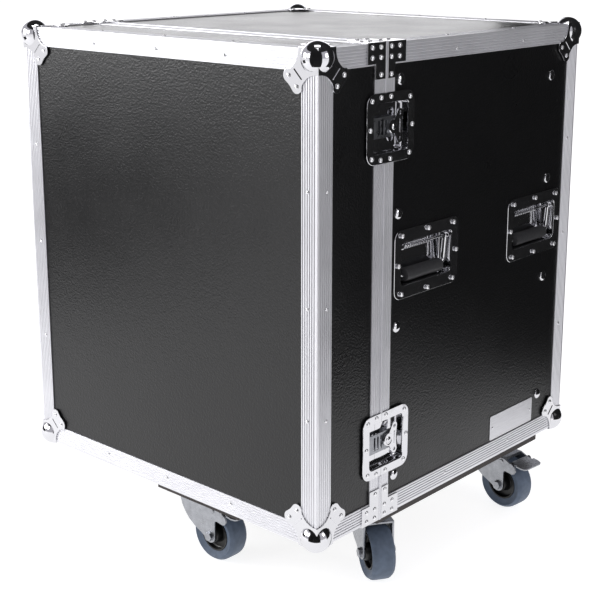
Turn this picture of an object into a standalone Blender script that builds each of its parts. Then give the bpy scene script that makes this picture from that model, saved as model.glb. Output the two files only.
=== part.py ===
"""Rack flight case on casters, with a lift-off front lid and four rack drawers.

Metres, +Z up, origin on the floor under the middle of the case. The lid is at -Y and the
right-hand side, with two latches and two handles, is at +X. On a side wall, u is the distance
out from the outer plane of the case, v the distance behind the seam, h a height from a centre.
"""

import math

import bmesh
import bpy
from mathutils import Matrix, Vector

# Whole case
CASE_WIDTH = 0.533
CASE_DEPTH = 0.555
CASE_HEIGHT = 0.598
LID_DEPTH = 0.120
GAP = 0.0003

# Walls, edge extrusions and seam extrusions
PLY = 0.009
EXTRUSION = 0.0015
EDGE_LEG = 0.0255
GROOVE_WIDTH = 0.0014
GROOVE_DEPTH = 0.0005
GROOVE_PITCH = 0.0055
GROOVES = 3
SEAM_FLANGE_BODY = 0.017
SEAM_FLANGE_LID = 0.020
SEAM_LINER = 0.012
SEAM_LIP_WIDTH = 0.002
SEAM_LIP_HEIGHT = 0.0018
TONGUE = 0.005
TONGUE_THICKNESS = 0.0036
GROOVE_WALL = 0.002

# Ball corners and seam brackets
BALL_RADIUS = 0.0193
BALL_INSET = 0.0107
PLATE = 0.0015
SEAT = 0.0006
CORNER_ARCH = 0.0287
CORNER_REACH = 0.0455
CORNER_RIVET_FAR = 0.043
CORNER_RIVET_NEAR = 0.031
CORNER_LOBE = 0.0084
CORNER_FLARE = (0.0317, 0.012)
CORNER_VALLEY = (0.0415, 0.0236)
BRACKET_LENGTH = 0.0335
BRACKET_WIDTH = 0.0237
BRACKET_ARM_LID = 0.0188
BRACKET_ARM_BODY = 0.0135
BRACKET_DROP = 0.0416
BRACKET_LIP = 0.0055

# Butterfly latches: split dish, butterfly and hook
LATCH_CENTRE = 0.100
LATCH_BODY = 0.055
LATCH_LID = 0.036
LATCH_HALF = 0.042
LATCH_CORNER = 0.014
LATCH_POCKET_BODY = 0.0435
LATCH_POCKET_LID = 0.0225
LATCH_POCKET_HALF = 0.0295
LATCH_DEPTH = 0.0093
DISH = 0.0012
LATCH_PIVOT = 0.0185
PIVOT_RADIUS = 0.003
HUB_RADIUS = 0.009
LOBE_RADIUS = 0.0052
LOBE_BACK = 0.0115
LOBE_OUT = 0.0155
BUTTERFLY_FACE = 0.001
LOBE_THICKNESS = 0.0016
HOOK_THICKNESS = 0.0015
HOOK_FLOOR_CLEARANCE = 0.0035
HOOK_TRAVEL = 0.005
HOOK_HALF = 0.0125
HOOK_LIP = 0.0005
KEEPER_NEAR = 0.0115
KEEPER_THICKNESS = 0.003
KEEPER_HALF = 0.011

# Spring-loaded handles
HANDLE_BELOW_TOP = 0.274
HANDLE_FROM_SEAM = 0.090
HANDLE_FROM_BACK = 0.095
HANDLE_HALF_LENGTH = 0.067
HANDLE_HALF_HEIGHT = 0.044
HANDLE_CORNER = 0.012
HANDLE_POCKET_HALF_LENGTH = 0.0525
HANDLE_POCKET_HALF_HEIGHT = 0.0273
HANDLE_DEPTH = 0.020
HINGE_ABOVE_CENTRE = 0.020
HINGE_DEPTH = 0.008
HINGE_ROD = 0.0017
EYE_RADIUS = 0.0045
BAIL_WIRE = 0.0035
BAIL_DROP = 0.0375
GRIP_RADIUS = 0.0088
GRIP_HALF_LENGTH = 0.043
GRIP_EDGE = 0.0015
SPRING_RADIUS = 0.0029
SPRING_WIRE = 0.0006
SPRING_TURNS = 6
SPRING_LENGTH = 0.054

# Rack rails, their bolts and the drawers
RACK_UNIT = 0.04445
RACK_ROOM = 0.010
RACK_SIDE_SPACE = 0.0415
RACK_EAR = 0.0163
RAIL_THICKNESS = 0.002
RAIL_SET_BACK = 0.018
RAIL_SIDE = 0.0175
RAIL_REAR_ROOM = 0.052
RAIL_BOLT_SET_BACK = 0.012
RAIL_BOLTS_FRONT = (0.045, 0.208, 0.352)
RAIL_BOLTS_REAR = (0.068, 0.212, 0.355)
RAIL_BOLT_FRONT_LOWEST = 0.049
RAIL_BOLT_REAR_LOWEST = 0.064
BOLT_HEAD = 0.0075
BOLT_SHANK = 0.0039
BOLT_SLEEVE = 0.0075
DRAWERS = 4
DRAWER_GAP = 0.0008
DRAWER_FRONT = 0.003
DRAWER_SHEET = 0.0015
CABLE_SPACE = 0.075
DRAWER_RISE = 0.008
DRAWER_HEADROOM = 0.01455
SLIDE_WIDTH = 0.009
SLIDE_HEIGHT = 0.035
SLIDE_EAR = 0.0085
SLIDE_EAR_SHEET = 0.002
PULL_HALF = 0.055
PULL_STANDOFF = 0.026
PULL_WIRE = 0.004
LOCK_RADIUS = 0.009
LOCK_RISE = 0.004

# Caster boards and casters
BOARD = 0.012
BOARD_SIDE_INSET = 0.0065
BOARD_FRONT_INSET = 0.004
BOARD_BACK_INSET = 0.0535
LID_BOARD_LEFT = 0.0315
LID_BOARD_RIGHT = 0.1215
LID_BOARD_FRONT = 0.0125
LID_BOARD_BACK = 0.0065
CASTER_HEIGHT = 0.100
WHEEL_RADIUS = 0.0375
TYRE_WIDTH = 0.032
TYRE_SHOULDER = 0.0045
TYRE_FACETS = 22
HUB_RIM = 0.024
TRAIL = 0.035
CASTER_PLATE = (0.095, 0.063)
CASTER_PLATE_THICKNESS = 0.003
CASTER_BOSS = 0.020
SWIVEL_RADIUS = 0.027
FORK_SHEET = 0.003
FORK_HALF = 0.0185
TYRE_CLEARANCE = 0.004
AXLE_RADIUS = 0.004
AXLE_HEAD = 0.0045
LUG_REACH = 0.066
PEDAL_REACH = 0.083
PEDAL_SHEET = 0.0025
PEDAL_SLOPE = 8
PEDAL_PIN = 0.0016
PEDAL_PIN_FROM_TIP = 0.008
PEDAL_BARREL = 0.0038
LEG_FOOT = 0.0095
CASTER_SIDE_INSET = 0.067
CASTER_FRONT = 0.182
CASTER_FROM_BACK = 0.085
LID_CASTER = 0.0655

# Places worked out from the sizes above
HALF_WIDTH = CASE_WIDTH / 2
FRONT = -CASE_DEPTH / 2
BACK = CASE_DEPTH / 2
SEAM = FRONT + LID_DEPTH
BASE = CASTER_HEIGHT + BOARD
TOP = BASE + CASE_HEIGHT
SKIN = EXTRUSION + GAP
INNER = SKIN + PLY
BODY_DEPTH = CASE_DEPTH - LID_DEPTH
SEAM_BLOCK = GROOVE_WALL + TONGUE + GAP
CORNER_CLEAR = BALL_INSET + math.sqrt(BALL_RADIUS**2 - (BALL_INSET - EXTRUSION) ** 2) + GAP
LATCH_HEIGHTS = (BASE + LATCH_CENTRE, TOP - LATCH_CENTRE)
LATCH_NOTCH = LATCH_POCKET_HALF + DISH + GAP
HANDLE_HEIGHT = TOP - HANDLE_BELOW_TOP
HANDLE_BEHIND_SEAM = (HANDLE_FROM_SEAM, BODY_DEPTH - HANDLE_FROM_BACK)
RACK_UNITS = int((CASE_HEIGHT - 2 * (INNER + RACK_ROOM)) / RACK_UNIT)
RACK_HEIGHT = RACK_UNITS * RACK_UNIT
RACK_OPENING = CASE_WIDTH - 2 * RACK_SIDE_SPACE
RACK_BOTTOM = BASE + (CASE_HEIGHT - RACK_HEIGHT) / 2
RAIL_OUTER = HALF_WIDTH - HANDLE_DEPTH - DISH - GAP
RAIL_REAR_FACE = BODY_DEPTH - RAIL_REAR_ROOM
DRAWER_DEPTH = BODY_DEPTH - CABLE_SPACE
DRAWER_FRONT_HEIGHT = RACK_HEIGHT / DRAWERS - DRAWER_GAP
DRAWER_HEIGHT = DRAWER_FRONT_HEIGHT - DRAWER_RISE - DRAWER_HEADROOM
SLIDE_OUTER = RACK_OPENING / 2 - GAP
SLIDE_INNER = SLIDE_OUTER - SLIDE_WIDTH - GAP
TRAY_HALF = SLIDE_INNER - SLIDE_WIDTH + GAP
FORK_TOP = 2 * WHEEL_RADIUS + TYRE_CLEARANCE
PLATE_TOP = CASTER_HEIGHT - GAP
PLATE_UNDER = PLATE_TOP - CASTER_PLATE_THICKNESS

SIDES = {"right": 1, "left": -1}


def clear_scene():
    for item in list(bpy.data.objects):
        bpy.data.objects.remove(item)
    for group in list(bpy.data.collections):
        bpy.data.collections.remove(group)


def finish(name, colour, roughness, metallic):
    made = bpy.data.materials.new(name)
    made.use_nodes = True
    shader = made.node_tree.nodes["Principled BSDF"]
    shader.inputs["Base Color"].default_value = (*colour, 1)
    shader.inputs["Roughness"].default_value = roughness
    shader.inputs["Metallic"].default_value = metallic
    made.diffuse_color = (*colour, 1)
    return made


def finishes():
    return {
        "laminate": finish("black_laminate", (0.012, 0.012, 0.013), 0.45, 0),
        "aluminium": finish("bright_aluminium", (0.80, 0.80, 0.82), 0.28, 1),
        "chrome": finish("chromed_steel", (0.72, 0.72, 0.74), 0.12, 1),
        "zinc": finish("zinc_plated_steel", (0.62, 0.63, 0.66), 0.30, 1),
        "ply": finish("stained_plywood", (0.025, 0.022, 0.022), 0.60, 0),
        "steel": finish("black_enamelled_steel", (0.02, 0.02, 0.022), 0.40, 0),
        "rubber": finish("grey_tyre_rubber", (0.14, 0.18, 0.25), 0.55, 0),
    }


def evaluated(item):
    """A plain mesh of the object as its modifiers leave it; the object is removed."""
    graph = bpy.context.evaluated_depsgraph_get()
    mesh = bpy.data.meshes.new_from_object(item.evaluated_get(graph))
    mesh.transform(item.matrix_world)
    bpy.data.objects.remove(item)
    return mesh


def tidy(mesh):
    """Welds the mesh, joins its faces that lie in one plane and points them outwards."""
    work = bmesh.new()
    work.from_mesh(mesh)
    bmesh.ops.remove_doubles(work, verts=work.verts, dist=1e-6)
    bmesh.ops.dissolve_limit(work, angle_limit=0.001, verts=work.verts, edges=work.edges)
    bmesh.ops.recalc_face_normals(work, faces=work.faces)
    work.to_mesh(mesh)
    work.free()
    return mesh


def helper(mesh):
    item = bpy.data.objects.new("helper", mesh)
    bpy.context.scene.collection.objects.link(item)
    return item


def box(low, high):
    work = bmesh.new()
    bmesh.ops.create_cube(work, size=1)
    middle = (Vector(low) + Vector(high)) / 2
    size = Vector(high) - Vector(low)
    bmesh.ops.scale(work, vec=size, verts=work.verts)
    bmesh.ops.translate(work, vec=middle, verts=work.verts)
    mesh = bpy.data.meshes.new("box")
    work.to_mesh(mesh)
    work.free()
    return mesh


def flat(axis, low, high, outline, holes=()):
    """A flat outline, and its holes, made solid between two planes square to an axis.

    Points are (y, z) for axis X, (x, z) for axis Y and (x, y) for axis Z.
    """
    curve = bpy.data.curves.new("outline", "CURVE")
    curve.dimensions = "2D"
    curve.fill_mode = "BOTH"
    curve.extrude = (high - low) / 2
    for points in (outline, *holes):
        spline = curve.splines.new("POLY")
        spline.points.add(len(points) - 1)
        for point, (across, up) in zip(spline.points, points):
            point.co = (across, up, 0, 1)
        spline.use_cyclic_u = True
    mesh = evaluated(helper(curve))
    bpy.data.curves.remove(curve)
    middle = (low + high) / 2
    turn = {
        "X": Matrix(((0, 0, 1, middle), (1, 0, 0, 0), (0, 1, 0, 0), (0, 0, 0, 1))),
        "Y": Matrix(((1, 0, 0, 0), (0, 0, -1, middle), (0, 1, 0, 0), (0, 0, 0, 1))),
        "Z": Matrix.Translation((0, 0, middle)),
    }
    mesh.transform(turn[axis])
    return tidy(mesh)


def turned(axis, profile, steps, closed=False):
    """A profile of (radius, along) points revolved about an axis through the origin."""
    mesh = bpy.data.meshes.new("profile")
    count = len(profile)
    edges = [(i, (i + 1) % count) for i in range(count if closed else count - 1)]
    mesh.from_pydata([(radius, 0, along) for radius, along in profile], edges, [])
    item = helper(mesh)
    screw = item.modifiers.new("screw", "SCREW")
    screw.steps = screw.render_steps = steps
    screw.use_merge_vertices = True
    screw.merge_threshold = 0.00001
    result = evaluated(item)
    turn = {"X": Matrix.Rotation(math.pi / 2, 4, "Y"), "Y": Matrix.Rotation(-math.pi / 2, 4, "X")}
    if axis in turn:
        result.transform(turn[axis])
    return tidy(result)


def rod(points, radius, resolution=1):
    """A round bar along a list of points, with flat ends."""
    curve = bpy.data.curves.new("rod", "CURVE")
    curve.dimensions = "3D"
    curve.bevel_depth = radius
    curve.bevel_resolution = resolution
    curve.use_fill_caps = True
    spline = curve.splines.new("POLY")
    spline.points.add(len(points) - 1)
    for point, place in zip(spline.points, points):
        point.co = (*place, 1)
    mesh = evaluated(helper(curve))
    bpy.data.curves.remove(curve)
    return tidy(mesh)


def moved(mesh, *shift):
    mesh.transform(Matrix.Translation(shift))
    return mesh


def mirrored(mesh, signs):
    """A copy with the axes of negative sign turned round, its faces still pointing out."""
    copy = mesh.copy()
    copy.transform(Matrix.Diagonal((*signs, 1)))
    if signs[0] * signs[1] * signs[2] < 0:
        copy.flip_normals()
    return copy


def boolean(operation, mesh, tools, solver="EXACT"):
    """Joins the tools to the mesh, or cuts them from it, one after another."""
    for tool in tools:
        item = helper(mesh)
        other = helper(tool)
        step = item.modifiers.new("step", "BOOLEAN")
        step.operation = operation
        step.solver = solver
        step.object = other
        mesh = evaluated(item)
        bpy.data.objects.remove(other)
    return tidy(mesh)


def union(mesh, *tools):
    return boolean("UNION", mesh, tools)


def cut(mesh, *tools):
    return boolean("DIFFERENCE", mesh, tools)


def arc(centre, radius, start, end, steps):
    """Points along a circular arc, with its angles in degrees."""
    points = []
    for step in range(steps + 1):
        angle = math.radians(start + (end - start) * step / steps)
        points.append((centre[0] + radius * math.cos(angle), centre[1] + radius * math.sin(angle)))
    return points


def rectangle(low, high):
    return [(low[0], low[1]), (high[0], low[1]), (high[0], high[1]), (low[0], high[1])]


def rounded(low, high, radii, steps=2):
    """A rectangle with its own radius at each corner: low-low, high-low, high-high, low-high."""
    corners = rectangle(low, high)
    inward = ((1, 1), (-1, 1), (-1, -1), (1, -1))
    points = []
    for corner, sign, radius, start in zip(corners, inward, radii, (180, 270, 0, 90)):
        if radius:
            centre = (corner[0] + sign[0] * radius, corner[1] + sign[1] * radius)
            points += arc(centre, radius, start, start + 90, steps)
        else:
            points.append(corner)
    return points


def circle(centre, radius, steps=12):
    return arc(centre, radius, 0, 360 - 360 / steps, steps - 1)


def capsule(start, end, radius, steps=4):
    """The outline of a bar with round ends."""
    slope = math.degrees(math.atan2(end[1] - start[1], end[0] - start[0]))
    return arc(end, radius, slope - 90, slope + 90, steps) + arc(
        start, radius, slope + 90, slope + 270, steps
    )


class Case:
    """Puts named objects with their finishes in the part's collection."""

    def __init__(self, name):
        self.collection = bpy.data.collections.new(name)
        bpy.context.scene.collection.children.link(self.collection)
        self.finishes = finishes()

    def add(self, name, mesh, finish_name, place=(0, 0, 0), yaw=0, parent=None):
        mesh.name = name
        mesh.materials.clear()
        mesh.materials.append(self.finishes[finish_name])
        item = bpy.data.objects.new(name, mesh)
        self.collection.objects.link(item)
        item.location = place
        item.rotation_euler = (0, 0, yaw)
        item.parent = parent
        return item

    def add_copy(self, name, mesh, finish_name, **where):
        return self.add(name, mesh.copy(), finish_name, **where)


# Walls


def handle_holes():
    """The handle cut-outs of a side wall, as (y, z) rectangles."""
    holes = []
    half_length = HANDLE_POCKET_HALF_LENGTH + DISH + GAP
    half_height = HANDLE_POCKET_HALF_HEIGHT + DISH + GAP
    for v in HANDLE_BEHIND_SEAM:
        low = (SEAM + v - half_length, HANDLE_HEIGHT - half_height)
        high = (SEAM + v + half_length, HANDLE_HEIGHT + half_height)
        holes.append(rectangle(low, high))
    return holes


def bolt_places():
    """The rack bolts of a side wall, as (y, z)."""
    front = SEAM + RAIL_SET_BACK + RAIL_BOLT_SET_BACK
    rear = SEAM + RAIL_REAR_FACE - RAIL_BOLT_SET_BACK
    places = [(front, TOP - down) for down in RAIL_BOLTS_FRONT]
    places += [(rear, TOP - down) for down in RAIL_BOLTS_REAR]
    return [*places, (front, BASE + RAIL_BOLT_FRONT_LOWEST), (rear, BASE + RAIL_BOLT_REAR_LOWEST)]


def notched_edge(y_edge, y_notch):
    """The seam edge of a side wall, bottom to top, with a notch for each latch dish."""
    points = []
    for height in LATCH_HEIGHTS:
        points += [
            (y_edge, height - LATCH_NOTCH),
            (y_notch, height - LATCH_NOTCH),
            (y_notch, height + LATCH_NOTCH),
            (y_edge, height + LATCH_NOTCH),
        ]
    return points


def body_panels(case):
    seam_edge = SEAM + SKIN
    back = BACK - SKIN
    low, high = BASE + SKIN, TOP - SKIN
    notch = SEAM + LATCH_POCKET_BODY + DISH + GAP
    outline = [(seam_edge, low), *notched_edge(seam_edge, notch), (seam_edge, high)]
    outline += [(back, high), (back, low)]
    bolts = [circle(place, BOLT_SHANK + GAP, 8) for place in bolt_places()]
    wall = flat("X", -INNER, -SKIN, outline, handle_holes() + bolts)
    for side, sign in SIDES.items():
        panel = moved(mirrored(wall, (sign, 1, 1)), sign * HALF_WIDTH, 0, 0)
        case.add(f"body_{side}_panel", panel, "laminate")
    half = HALF_WIDTH - INNER - GAP
    case.add("body_top_panel", box((-half, seam_edge, TOP - INNER), (half, back, high)), "laminate")
    case.add("body_bottom_panel", box((-half, seam_edge, low), (half, back, BASE + INNER)), "laminate")
    rear = box((-half, BACK - INNER, BASE + INNER + GAP), (half, back, TOP - INNER - GAP))
    case.add("body_back_panel", rear, "laminate")


def lid_panels(case):
    front = FRONT + SKIN
    seam_edge = SEAM - GAP - SEAM_BLOCK - GAP
    outer = rectangle((-HALF_WIDTH + SKIN, BASE + SKIN), (HALF_WIDTH - SKIN, TOP - SKIN))
    inner = rectangle((-HALF_WIDTH + INNER, BASE + INNER), (HALF_WIDTH - INNER, TOP - INNER))
    notch = SEAM - LATCH_POCKET_LID - DISH - GAP
    notches = [
        box((-CASE_WIDTH, notch, height - LATCH_NOTCH), (CASE_WIDTH, SEAM, height + LATCH_NOTCH))
        for height in LATCH_HEIGHTS
    ]
    case.add("lid_rim_panels", cut(flat("Y", front, seam_edge, outer, [inner]), *notches), "laminate")
    half = HALF_WIDTH - INNER - GAP
    face = box((-half, front, BASE + INNER + GAP), (half, FRONT + INNER, TOP - INNER - GAP))
    case.add("lid_face_panel", face, "laminate")


# Edge extrusions


def angle_profile():
    """One edge extrusion, as (p, q): the distances in from the two outer faces."""
    leg = []
    for index in range(GROOVES):
        start = EDGE_LEG - GROOVE_PITCH * (index + 0.5) - GROOVE_WIDTH
        leg += [(start + GROOVE_WIDTH, 0), (start + GROOVE_WIDTH / 2, GROOVE_DEPTH), (start, 0)]
    nose = EXTRUSION / 2
    first = [(EDGE_LEG, EXTRUSION), (EDGE_LEG, 0), *leg, (nose, 0)]
    second = [(q, p) for p, q in reversed(first)]
    return [*first, *second, (EXTRUSION, EXTRUSION)]


def edge_bar(axis, low, high, corner, signs):
    """An edge extrusion between two places along an axis, at a corner of the case."""
    points = [(corner[0] - signs[0] * p, corner[1] - signs[1] * q) for p, q in angle_profile()]
    return flat(axis, low, high, points)


def long_edges(low, high):
    """The four extrusions that run front to back."""
    bars = []
    for sign in (1, -1):
        for height, up in ((BASE, -1), (TOP, 1)):
            bars.append(edge_bar("Y", low, high, (sign * HALF_WIDTH, height), (sign, up)))
    return bars


def end_edges(y_face, out):
    """The four extrusions round the front or the back face."""
    across = HALF_WIDTH - CORNER_CLEAR
    bars = []
    for height, up in ((BASE, -1), (TOP, 1)):
        bars.append(edge_bar("X", -across, across, (y_face, height), (out, up)))
    for sign in (1, -1):
        low, high = BASE + CORNER_CLEAR, TOP - CORNER_CLEAR
        bars.append(edge_bar("Z", low, high, (sign * HALF_WIDTH, y_face), (sign, out)))
    return bars


# Seam extrusions


def tongue_profile():
    """The body's seam extrusion, as (inset from the outer plane, distance behind the seam)."""
    inner = INNER + GAP + EXTRUSION
    middle = inner / 2
    near, far = middle - TONGUE_THICKNESS / 2, middle + TONGUE_THICKNESS / 2
    return [
        (-SEAM_LIP_HEIGHT, 0),
        (near, 0),
        (near, -TONGUE),
        (far, -TONGUE),
        (far, 0),
        (inner, 0),
        (inner, SEAM_LINER),
        (inner - EXTRUSION, SEAM_LINER),
        (inner - EXTRUSION, EXTRUSION),
        (EXTRUSION, EXTRUSION),
        (EXTRUSION, SEAM_FLANGE_BODY),
        (0, SEAM_FLANGE_BODY),
        (0, SEAM_LIP_WIDTH),
        (-SEAM_LIP_HEIGHT, SEAM_LIP_WIDTH),
    ]


def groove_profile():
    """The lid's seam extrusion, as (inset, distance in front of the seam face)."""
    inner = INNER + GAP + EXTRUSION
    middle = inner / 2
    near = middle - TONGUE_THICKNESS / 2 - 2 * GAP
    far = middle + TONGUE_THICKNESS / 2 + 2 * GAP
    return [
        (-SEAM_LIP_HEIGHT, 0),
        (-SEAM_LIP_HEIGHT, SEAM_LIP_WIDTH),
        (0, SEAM_LIP_WIDTH),
        (0, SEAM_FLANGE_LID),
        (EXTRUSION, SEAM_FLANGE_LID),
        (EXTRUSION, SEAM_BLOCK),
        (inner - EXTRUSION, SEAM_BLOCK),
        (inner - EXTRUSION, SEAM_BLOCK + SEAM_LINER / 2),
        (inner, SEAM_BLOCK + SEAM_LINER / 2),
        (inner, 0),
        (far, 0),
        (far, TONGUE),
        (near, TONGUE),
        (near, 0),
    ]


def seam_ring(profile, y_face, out):
    """A seam extrusion mitred round all four sides, cut away where the latch dishes sit."""
    diagonal = math.sqrt(2)
    points = [((HALF_WIDTH - inset) * diagonal, out * v) for inset, v in profile]
    ring = turned("Y", points, 4, closed=True)
    ring.transform(Matrix.Rotation(math.pi / 4, 4, "Y"))
    for vertex in ring.vertices:
        vertex.co.z += math.copysign((CASE_HEIGHT - CASE_WIDTH) / 2, vertex.co.z)
    moved(ring, 0, y_face, (BASE + TOP) / 2)
    cutters = []
    for sign in (1, -1):
        for height in LATCH_HEIGHTS:
            for inset, half in ((INNER, LATCH_NOTCH), (GAP, LATCH_HALF + GAP)):
                outside = sign * (HALF_WIDTH + BALL_RADIUS)
                inside = sign * (HALF_WIDTH - inset)
                low = (min(outside, inside), y_face - EDGE_LEG, height - half)
                high = (max(outside, inside), y_face + EDGE_LEG, height + half)
                cutters.append(box(low, high))
    return cut(ring, *cutters)


# Ball corners and seam brackets


def corner_leg():
    """The outline of one leg of a ball corner on its face, the same both sides of the diagonal."""
    edge = GAP / 3 - PLATE
    half = [(CORNER_ARCH, edge), CORNER_FLARE, CORNER_VALLEY]
    half += arc((CORNER_RIVET_FAR, CORNER_RIVET_NEAR), CORNER_LOBE, -60, 55, 2)
    return [(edge, edge), *half, *[(b, a) for a, b in reversed(half)]]


def ball_corner():
    """A ball corner at the origin, its three legs running along +X, +Y and +Z.

    Its plates bed on the extrusions, below the bottom of their grooves.
    """
    legs = [flat(axis, -PLATE, SEAT, corner_leg()) for axis in "ZXY"]
    work = bmesh.new()
    bmesh.ops.create_uvsphere(work, u_segments=12, v_segments=6, radius=BALL_RADIUS)
    ball = bpy.data.meshes.new("ball")
    work.to_mesh(ball)
    work.free()
    moved(ball, BALL_INSET, BALL_INSET, BALL_INSET)
    inside = box((2 * GAP / 3 - PLATE,) * 3, (2 * CORNER_REACH,) * 3)
    return union(cut(ball, inside), *legs)


def ball_corners(y_face, inward):
    corner = ball_corner()
    corners = []
    for sign in (1, -1):
        for height, up in ((BASE, 1), (TOP, -1)):
            shape = mirrored(corner, (-sign, inward, up))
            corners.append(moved(shape, sign * HALF_WIDTH, y_face, height))
    return corners


def bracket(arm, lip):
    """A seam bracket at the origin: its seam edge at y = 0, the case's edge along +Y.

    Its first plate lies on the side face, square to X, its second on the top face. A lip
    width, where given, is all that wraps on to the second face.
    """
    edge = GAP / 3 - PLATE
    side = [
        (0, edge),
        (BRACKET_LENGTH, edge),
        (BRACKET_LENGTH, BRACKET_WIDTH),
        (arm, BRACKET_WIDTH),
        (arm, BRACKET_DROP),
        (0, BRACKET_DROP),
    ]
    top = rectangle((edge, 0), (lip, BRACKET_LENGTH)) if lip else [(b, a) for a, b in side]
    inset = GAP / 3
    top = [(across, min(max(along, inset), BRACKET_LENGTH - inset)) for across, along in top]
    return union(flat("X", -PLATE, SEAT, side), flat("Z", -PLATE, SEAT, top))


def seam_brackets(y_face, arm, out):
    start = y_face + out * (SEAM_LIP_WIDTH + GAP)
    brackets = []
    for height, up, lip in ((TOP, -1, 0), (BASE, 1, BRACKET_LIP)):
        shape = bracket(arm, lip)
        for sign in (1, -1):
            placed = mirrored(shape, (-sign, out, up))
            brackets.append(moved(placed, sign * HALF_WIDTH, start, height))
    return brackets


def riveted(ring, parts):
    """One frame of a seam extrusion and what is riveted to it.

    The grooves' bottoms lie in one line, which only the MANIFOLD solver joins cleanly.
    """
    return boolean("UNION", ring, parts, solver="MANIFOLD")


def frames(case):
    """The frame of the body and of the lid: extrusions, with ball corners and brackets riveted on."""
    body = seam_ring(tongue_profile(), SEAM, 1)
    bars = long_edges(SEAM + SEAM_FLANGE_BODY + GAP, BACK - CORNER_CLEAR) + end_edges(BACK, 1)
    hardware = ball_corners(BACK, -1) + seam_brackets(SEAM, BRACKET_ARM_BODY, 1)
    case.add("body_frame", riveted(body, bars + hardware), "aluminium")
    face = SEAM - GAP
    lid = seam_ring(groove_profile(), face, -1)
    bars = long_edges(FRONT + CORNER_CLEAR, face - SEAM_FLANGE_LID - GAP) + end_edges(FRONT, -1)
    hardware = ball_corners(FRONT, 1) + seam_brackets(face, BRACKET_ARM_LID, -1)
    case.add("lid_frame", riveted(lid, bars + hardware), "aluminium")


# Butterfly latches


def dish_half(reach, pocket, out):
    """One half of a latch dish at the origin, its seam edge at y = 0 and running along +-Y."""
    start = GAP / 2
    low, high = (start, -LATCH_HALF), (reach, LATCH_HALF)
    outline = rounded(low, high, (0, LATCH_CORNER, LATCH_CORNER, 0))
    flange = flat("X", GAP, GAP + DISH, outline)
    half = LATCH_POCKET_HALF
    shell = box((-LATCH_DEPTH - DISH, GAP, -half - DISH), (GAP + DISH / 2, pocket + DISH, half + DISH))
    hollow = box((-LATCH_DEPTH, -reach, -half), (reach, pocket, half))
    return mirrored(cut(union(flange, shell), hollow), (1, out, 1))


def hook_levels():
    """The underside and the top of the hook plate, as u."""
    under = -LATCH_DEPTH + HOOK_FLOOR_CLEARANCE
    return under, under + HOOK_THICKNESS


def body_dish():
    foot = -LATCH_DEPTH - DISH / 2
    top = hook_levels()[1] + GAP
    post = turned("X", [(0, foot), (PIVOT_RADIUS, foot), (PIVOT_RADIUS, top), (0, top)], 8)
    return union(dish_half(LATCH_BODY, LATCH_POCKET_BODY, 1), moved(post, 0, LATCH_PIVOT, 0))


def lid_dish():
    keeper_top = hook_levels()[0] - HOOK_LIP - GAP
    low = (-LATCH_DEPTH - DISH / 2, -KEEPER_NEAR - KEEPER_THICKNESS, -KEEPER_HALF)
    keeper = box(low, (keeper_top, -KEEPER_NEAR, KEEPER_HALF))
    return union(dish_half(LATCH_LID, LATCH_POCKET_LID, -1), keeper)


def butterfly():
    """The turning butterfly, its pivot at the origin."""
    low = hook_levels()[1] + 2 * GAP
    high = -BUTTERFLY_FACE
    hub = turned("X", [(0, low), (HUB_RADIUS, low), (HUB_RADIUS, high), (0, high)], 12)
    lobes = []
    for sign in (1, -1):
        end = (LOBE_BACK, sign * LOBE_OUT)
        hole = circle(end, LOBE_RADIUS / 2, 6)
        outline = capsule((0, 0), end, LOBE_RADIUS, 3)
        lobes.append(flat("X", high - GAP - LOBE_THICKNESS, high - GAP, outline, [hole]))
    return union(hub, *lobes)


def hook():
    """The hook plate, its post at the origin, reaching forward to the keeper."""
    under, over = hook_levels()
    nose = -LATCH_PIVOT - KEEPER_NEAR - KEEPER_THICKNESS - 2 * GAP
    slot = PIVOT_RADIUS + 2 * GAP
    tail = slot + HOOK_TRAVEL + HOOK_THICKNESS
    holes = [rectangle((-slot, -slot), (slot + HOOK_TRAVEL, slot))]
    rib = HOOK_THICKNESS * 1.4
    for index in range(3):
        start = nose / 2 - rib + (index - 1) * 2.4 * rib
        holes.append(rectangle((start, -HOOK_HALF * 0.7), (start + rib, HOOK_HALF * 0.7)))
    lip_start = nose - HOOK_THICKNESS
    plate = flat("X", under, over, rectangle((lip_start, -HOOK_HALF), (tail, HOOK_HALF)), holes)
    edge = GAP / 3
    low = (under - HOOK_LIP, lip_start + edge, -HOOK_HALF + edge)
    lip = box(low, (over - edge, nose, HOOK_HALF - edge))
    return union(plate, lip)


def latches(case):
    body, lid = body_dish(), lid_dish()
    wing, plate = butterfly(), hook()
    for side, sign in SIDES.items():
        for level, height in zip(("lower", "upper"), LATCH_HEIGHTS):
            signs = (sign, 1, 1)
            name = f"{side}_{level}"
            seam = (sign * HALF_WIDTH, SEAM, height)
            pivot = (sign * HALF_WIDTH, SEAM + LATCH_PIVOT, height)
            case.add(f"body_latch_dish_{name}", mirrored(body, signs), "chrome", place=seam)
            case.add(f"lid_latch_dish_{name}", mirrored(lid, signs), "chrome", place=seam)
            case.add(f"latch_butterfly_{name}", mirrored(wing, signs), "chrome", place=pivot)
            case.add(f"latch_hook_{name}", mirrored(plate, signs), "zinc", place=pivot)


# Spring-loaded handles


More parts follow.
